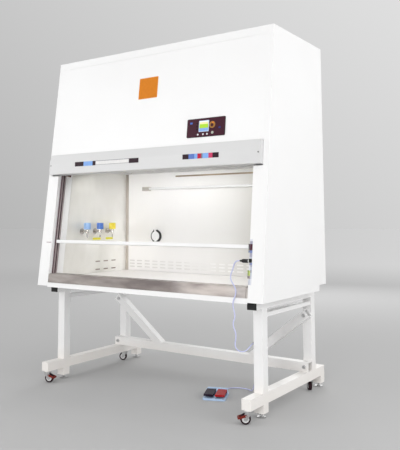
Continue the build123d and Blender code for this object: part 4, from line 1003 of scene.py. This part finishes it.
# Painted shade: a dark brown sheet just behind each side wall's slots.
for side, sign in (("left", -1.0), ("right", 1.0)):
    wall_plate(f"side_slot_painted_shade_{side}", side_slot_shade_sheet, sign * (liner_out + 0.0009),
               side_slot_front, side_slot_rear, slot_foot, slot_top, -sign, 0.0006, 0.002)
# The apron's end slips wear the same painted reflection.
for side, x0, x1 in (("left", -inner_edge + 0.0005, grille_low.x - 0.0003),
                     ("right", grille_high.x + 0.0003, inner_edge - 0.0005)):
    plate(f"apron_end_{side}", steel_painted_reflection, "brown_stainless", x0, x1, grille_low.z,
          grille_high.z - 0.002, -0.0016, 0.0012, 0.0006)

# %% [markdown]
# Caster wheels
#
# A small caster has a rubber tread round a moulded white hub. A spin turns a few points of the
# wheel's outline round the axle, so both parts are made from the outline of half a wheel. The
# joint of each wheel gives its middle and the direction of its axle.

# %% Casters
hub_white = finish("hub_white", grey(0.80), grey(0.72), (0.30, 0.42), patch=40.0,
                   grain=1200.0, bump=0.00003)
tread_outline = [
    (0.0170, 0.0094), (0.0180, 0.0100), (0.0225, 0.0100), (0.0243, 0.0084), (0.0250, 0.0055),
    (0.0250, -0.0055), (0.0243, -0.0084), (0.0225, -0.0100), (0.0180, -0.0100), (0.0170, -0.0094),
]
hub_outline = [
    (0.0042, 0.0098), (0.0088, 0.0098), (0.0100, 0.0072), (0.0155, 0.0066), (0.0168, 0.0086),
    (0.0169, 0.0000), (0.0168, -0.0086), (0.0155, -0.0066), (0.0100, -0.0072), (0.0088, -0.0098),
    (0.0042, -0.0098),
]


def turned(outline):
    """Spins a closed outline of radius and height round the Z axis."""
    bm = bmesh.new()
    points = [bm.verts.new((radius, 0.0, height)) for radius, height in outline]
    edges = [bm.edges.new(pair) for pair in zip(points, points[1:] + points[:1])]
    bmesh.ops.spin(bm, geom=points + edges, axis=(0, 0, 1), cent=(0, 0, 0), steps=40,
                   angle=2 * math.pi, use_merge=True)
    return bm


for joint in frame["joints"]:
    if not joint["name"].endswith("_roll"):
        continue
    corner = joint["child"].removeprefix("wheel_")
    axle = Vector(joint["axis"]).to_track_quat("Z", "Y").to_matrix().to_4x4()
    place = Matrix.Translation(joint["pos_m"]) @ axle
    tread = as_piece(turned(tread_outline), f"tread_{corner}", tyre_rubber,
                     joint["child"], place)
    as_piece(turned(hub_outline), f"hub_{corner}", hub_white, joint["child"],
             place)
    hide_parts(f"caster_wheel_{corner}")

# %% [markdown]
# The cord's clip
#
# Behind the right front leg a small clip holds the cord to the tube. It is a short band round
# the cord: an open ring, drawn out to the band's width and thickened into a strap.

# %% Cord clip
clip_place = Vector((0.6265, -0.2760, 0.3430))
clip_radius, clip_width, clip_wall = 0.0038, 0.009, 0.0011

clip = bmesh.new()
bmesh.ops.create_circle(clip, cap_ends=False, segments=28, radius=clip_radius)
grown = bmesh.ops.extrude_edge_only(clip, edges=clip.edges[:])
risen = [item for item in grown["geom"] if isinstance(item, bmesh.types.BMVert)]
bmesh.ops.translate(clip, vec=(0.0, 0.0, clip_width), verts=risen)
bmesh.ops.recalc_face_normals(clip, faces=clip.faces)
bmesh.ops.solidify(clip, geom=clip.faces[:], thickness=-clip_wall)
clip_foot = Matrix.Translation(clip_place + Vector((0.0, clip_width / 2, 0.0)))
as_piece(clip, "cord_clip_band", black_plastic, "cabinet",
         clip_foot @ Matrix.Rotation(math.radians(90.0), 4, "X"))
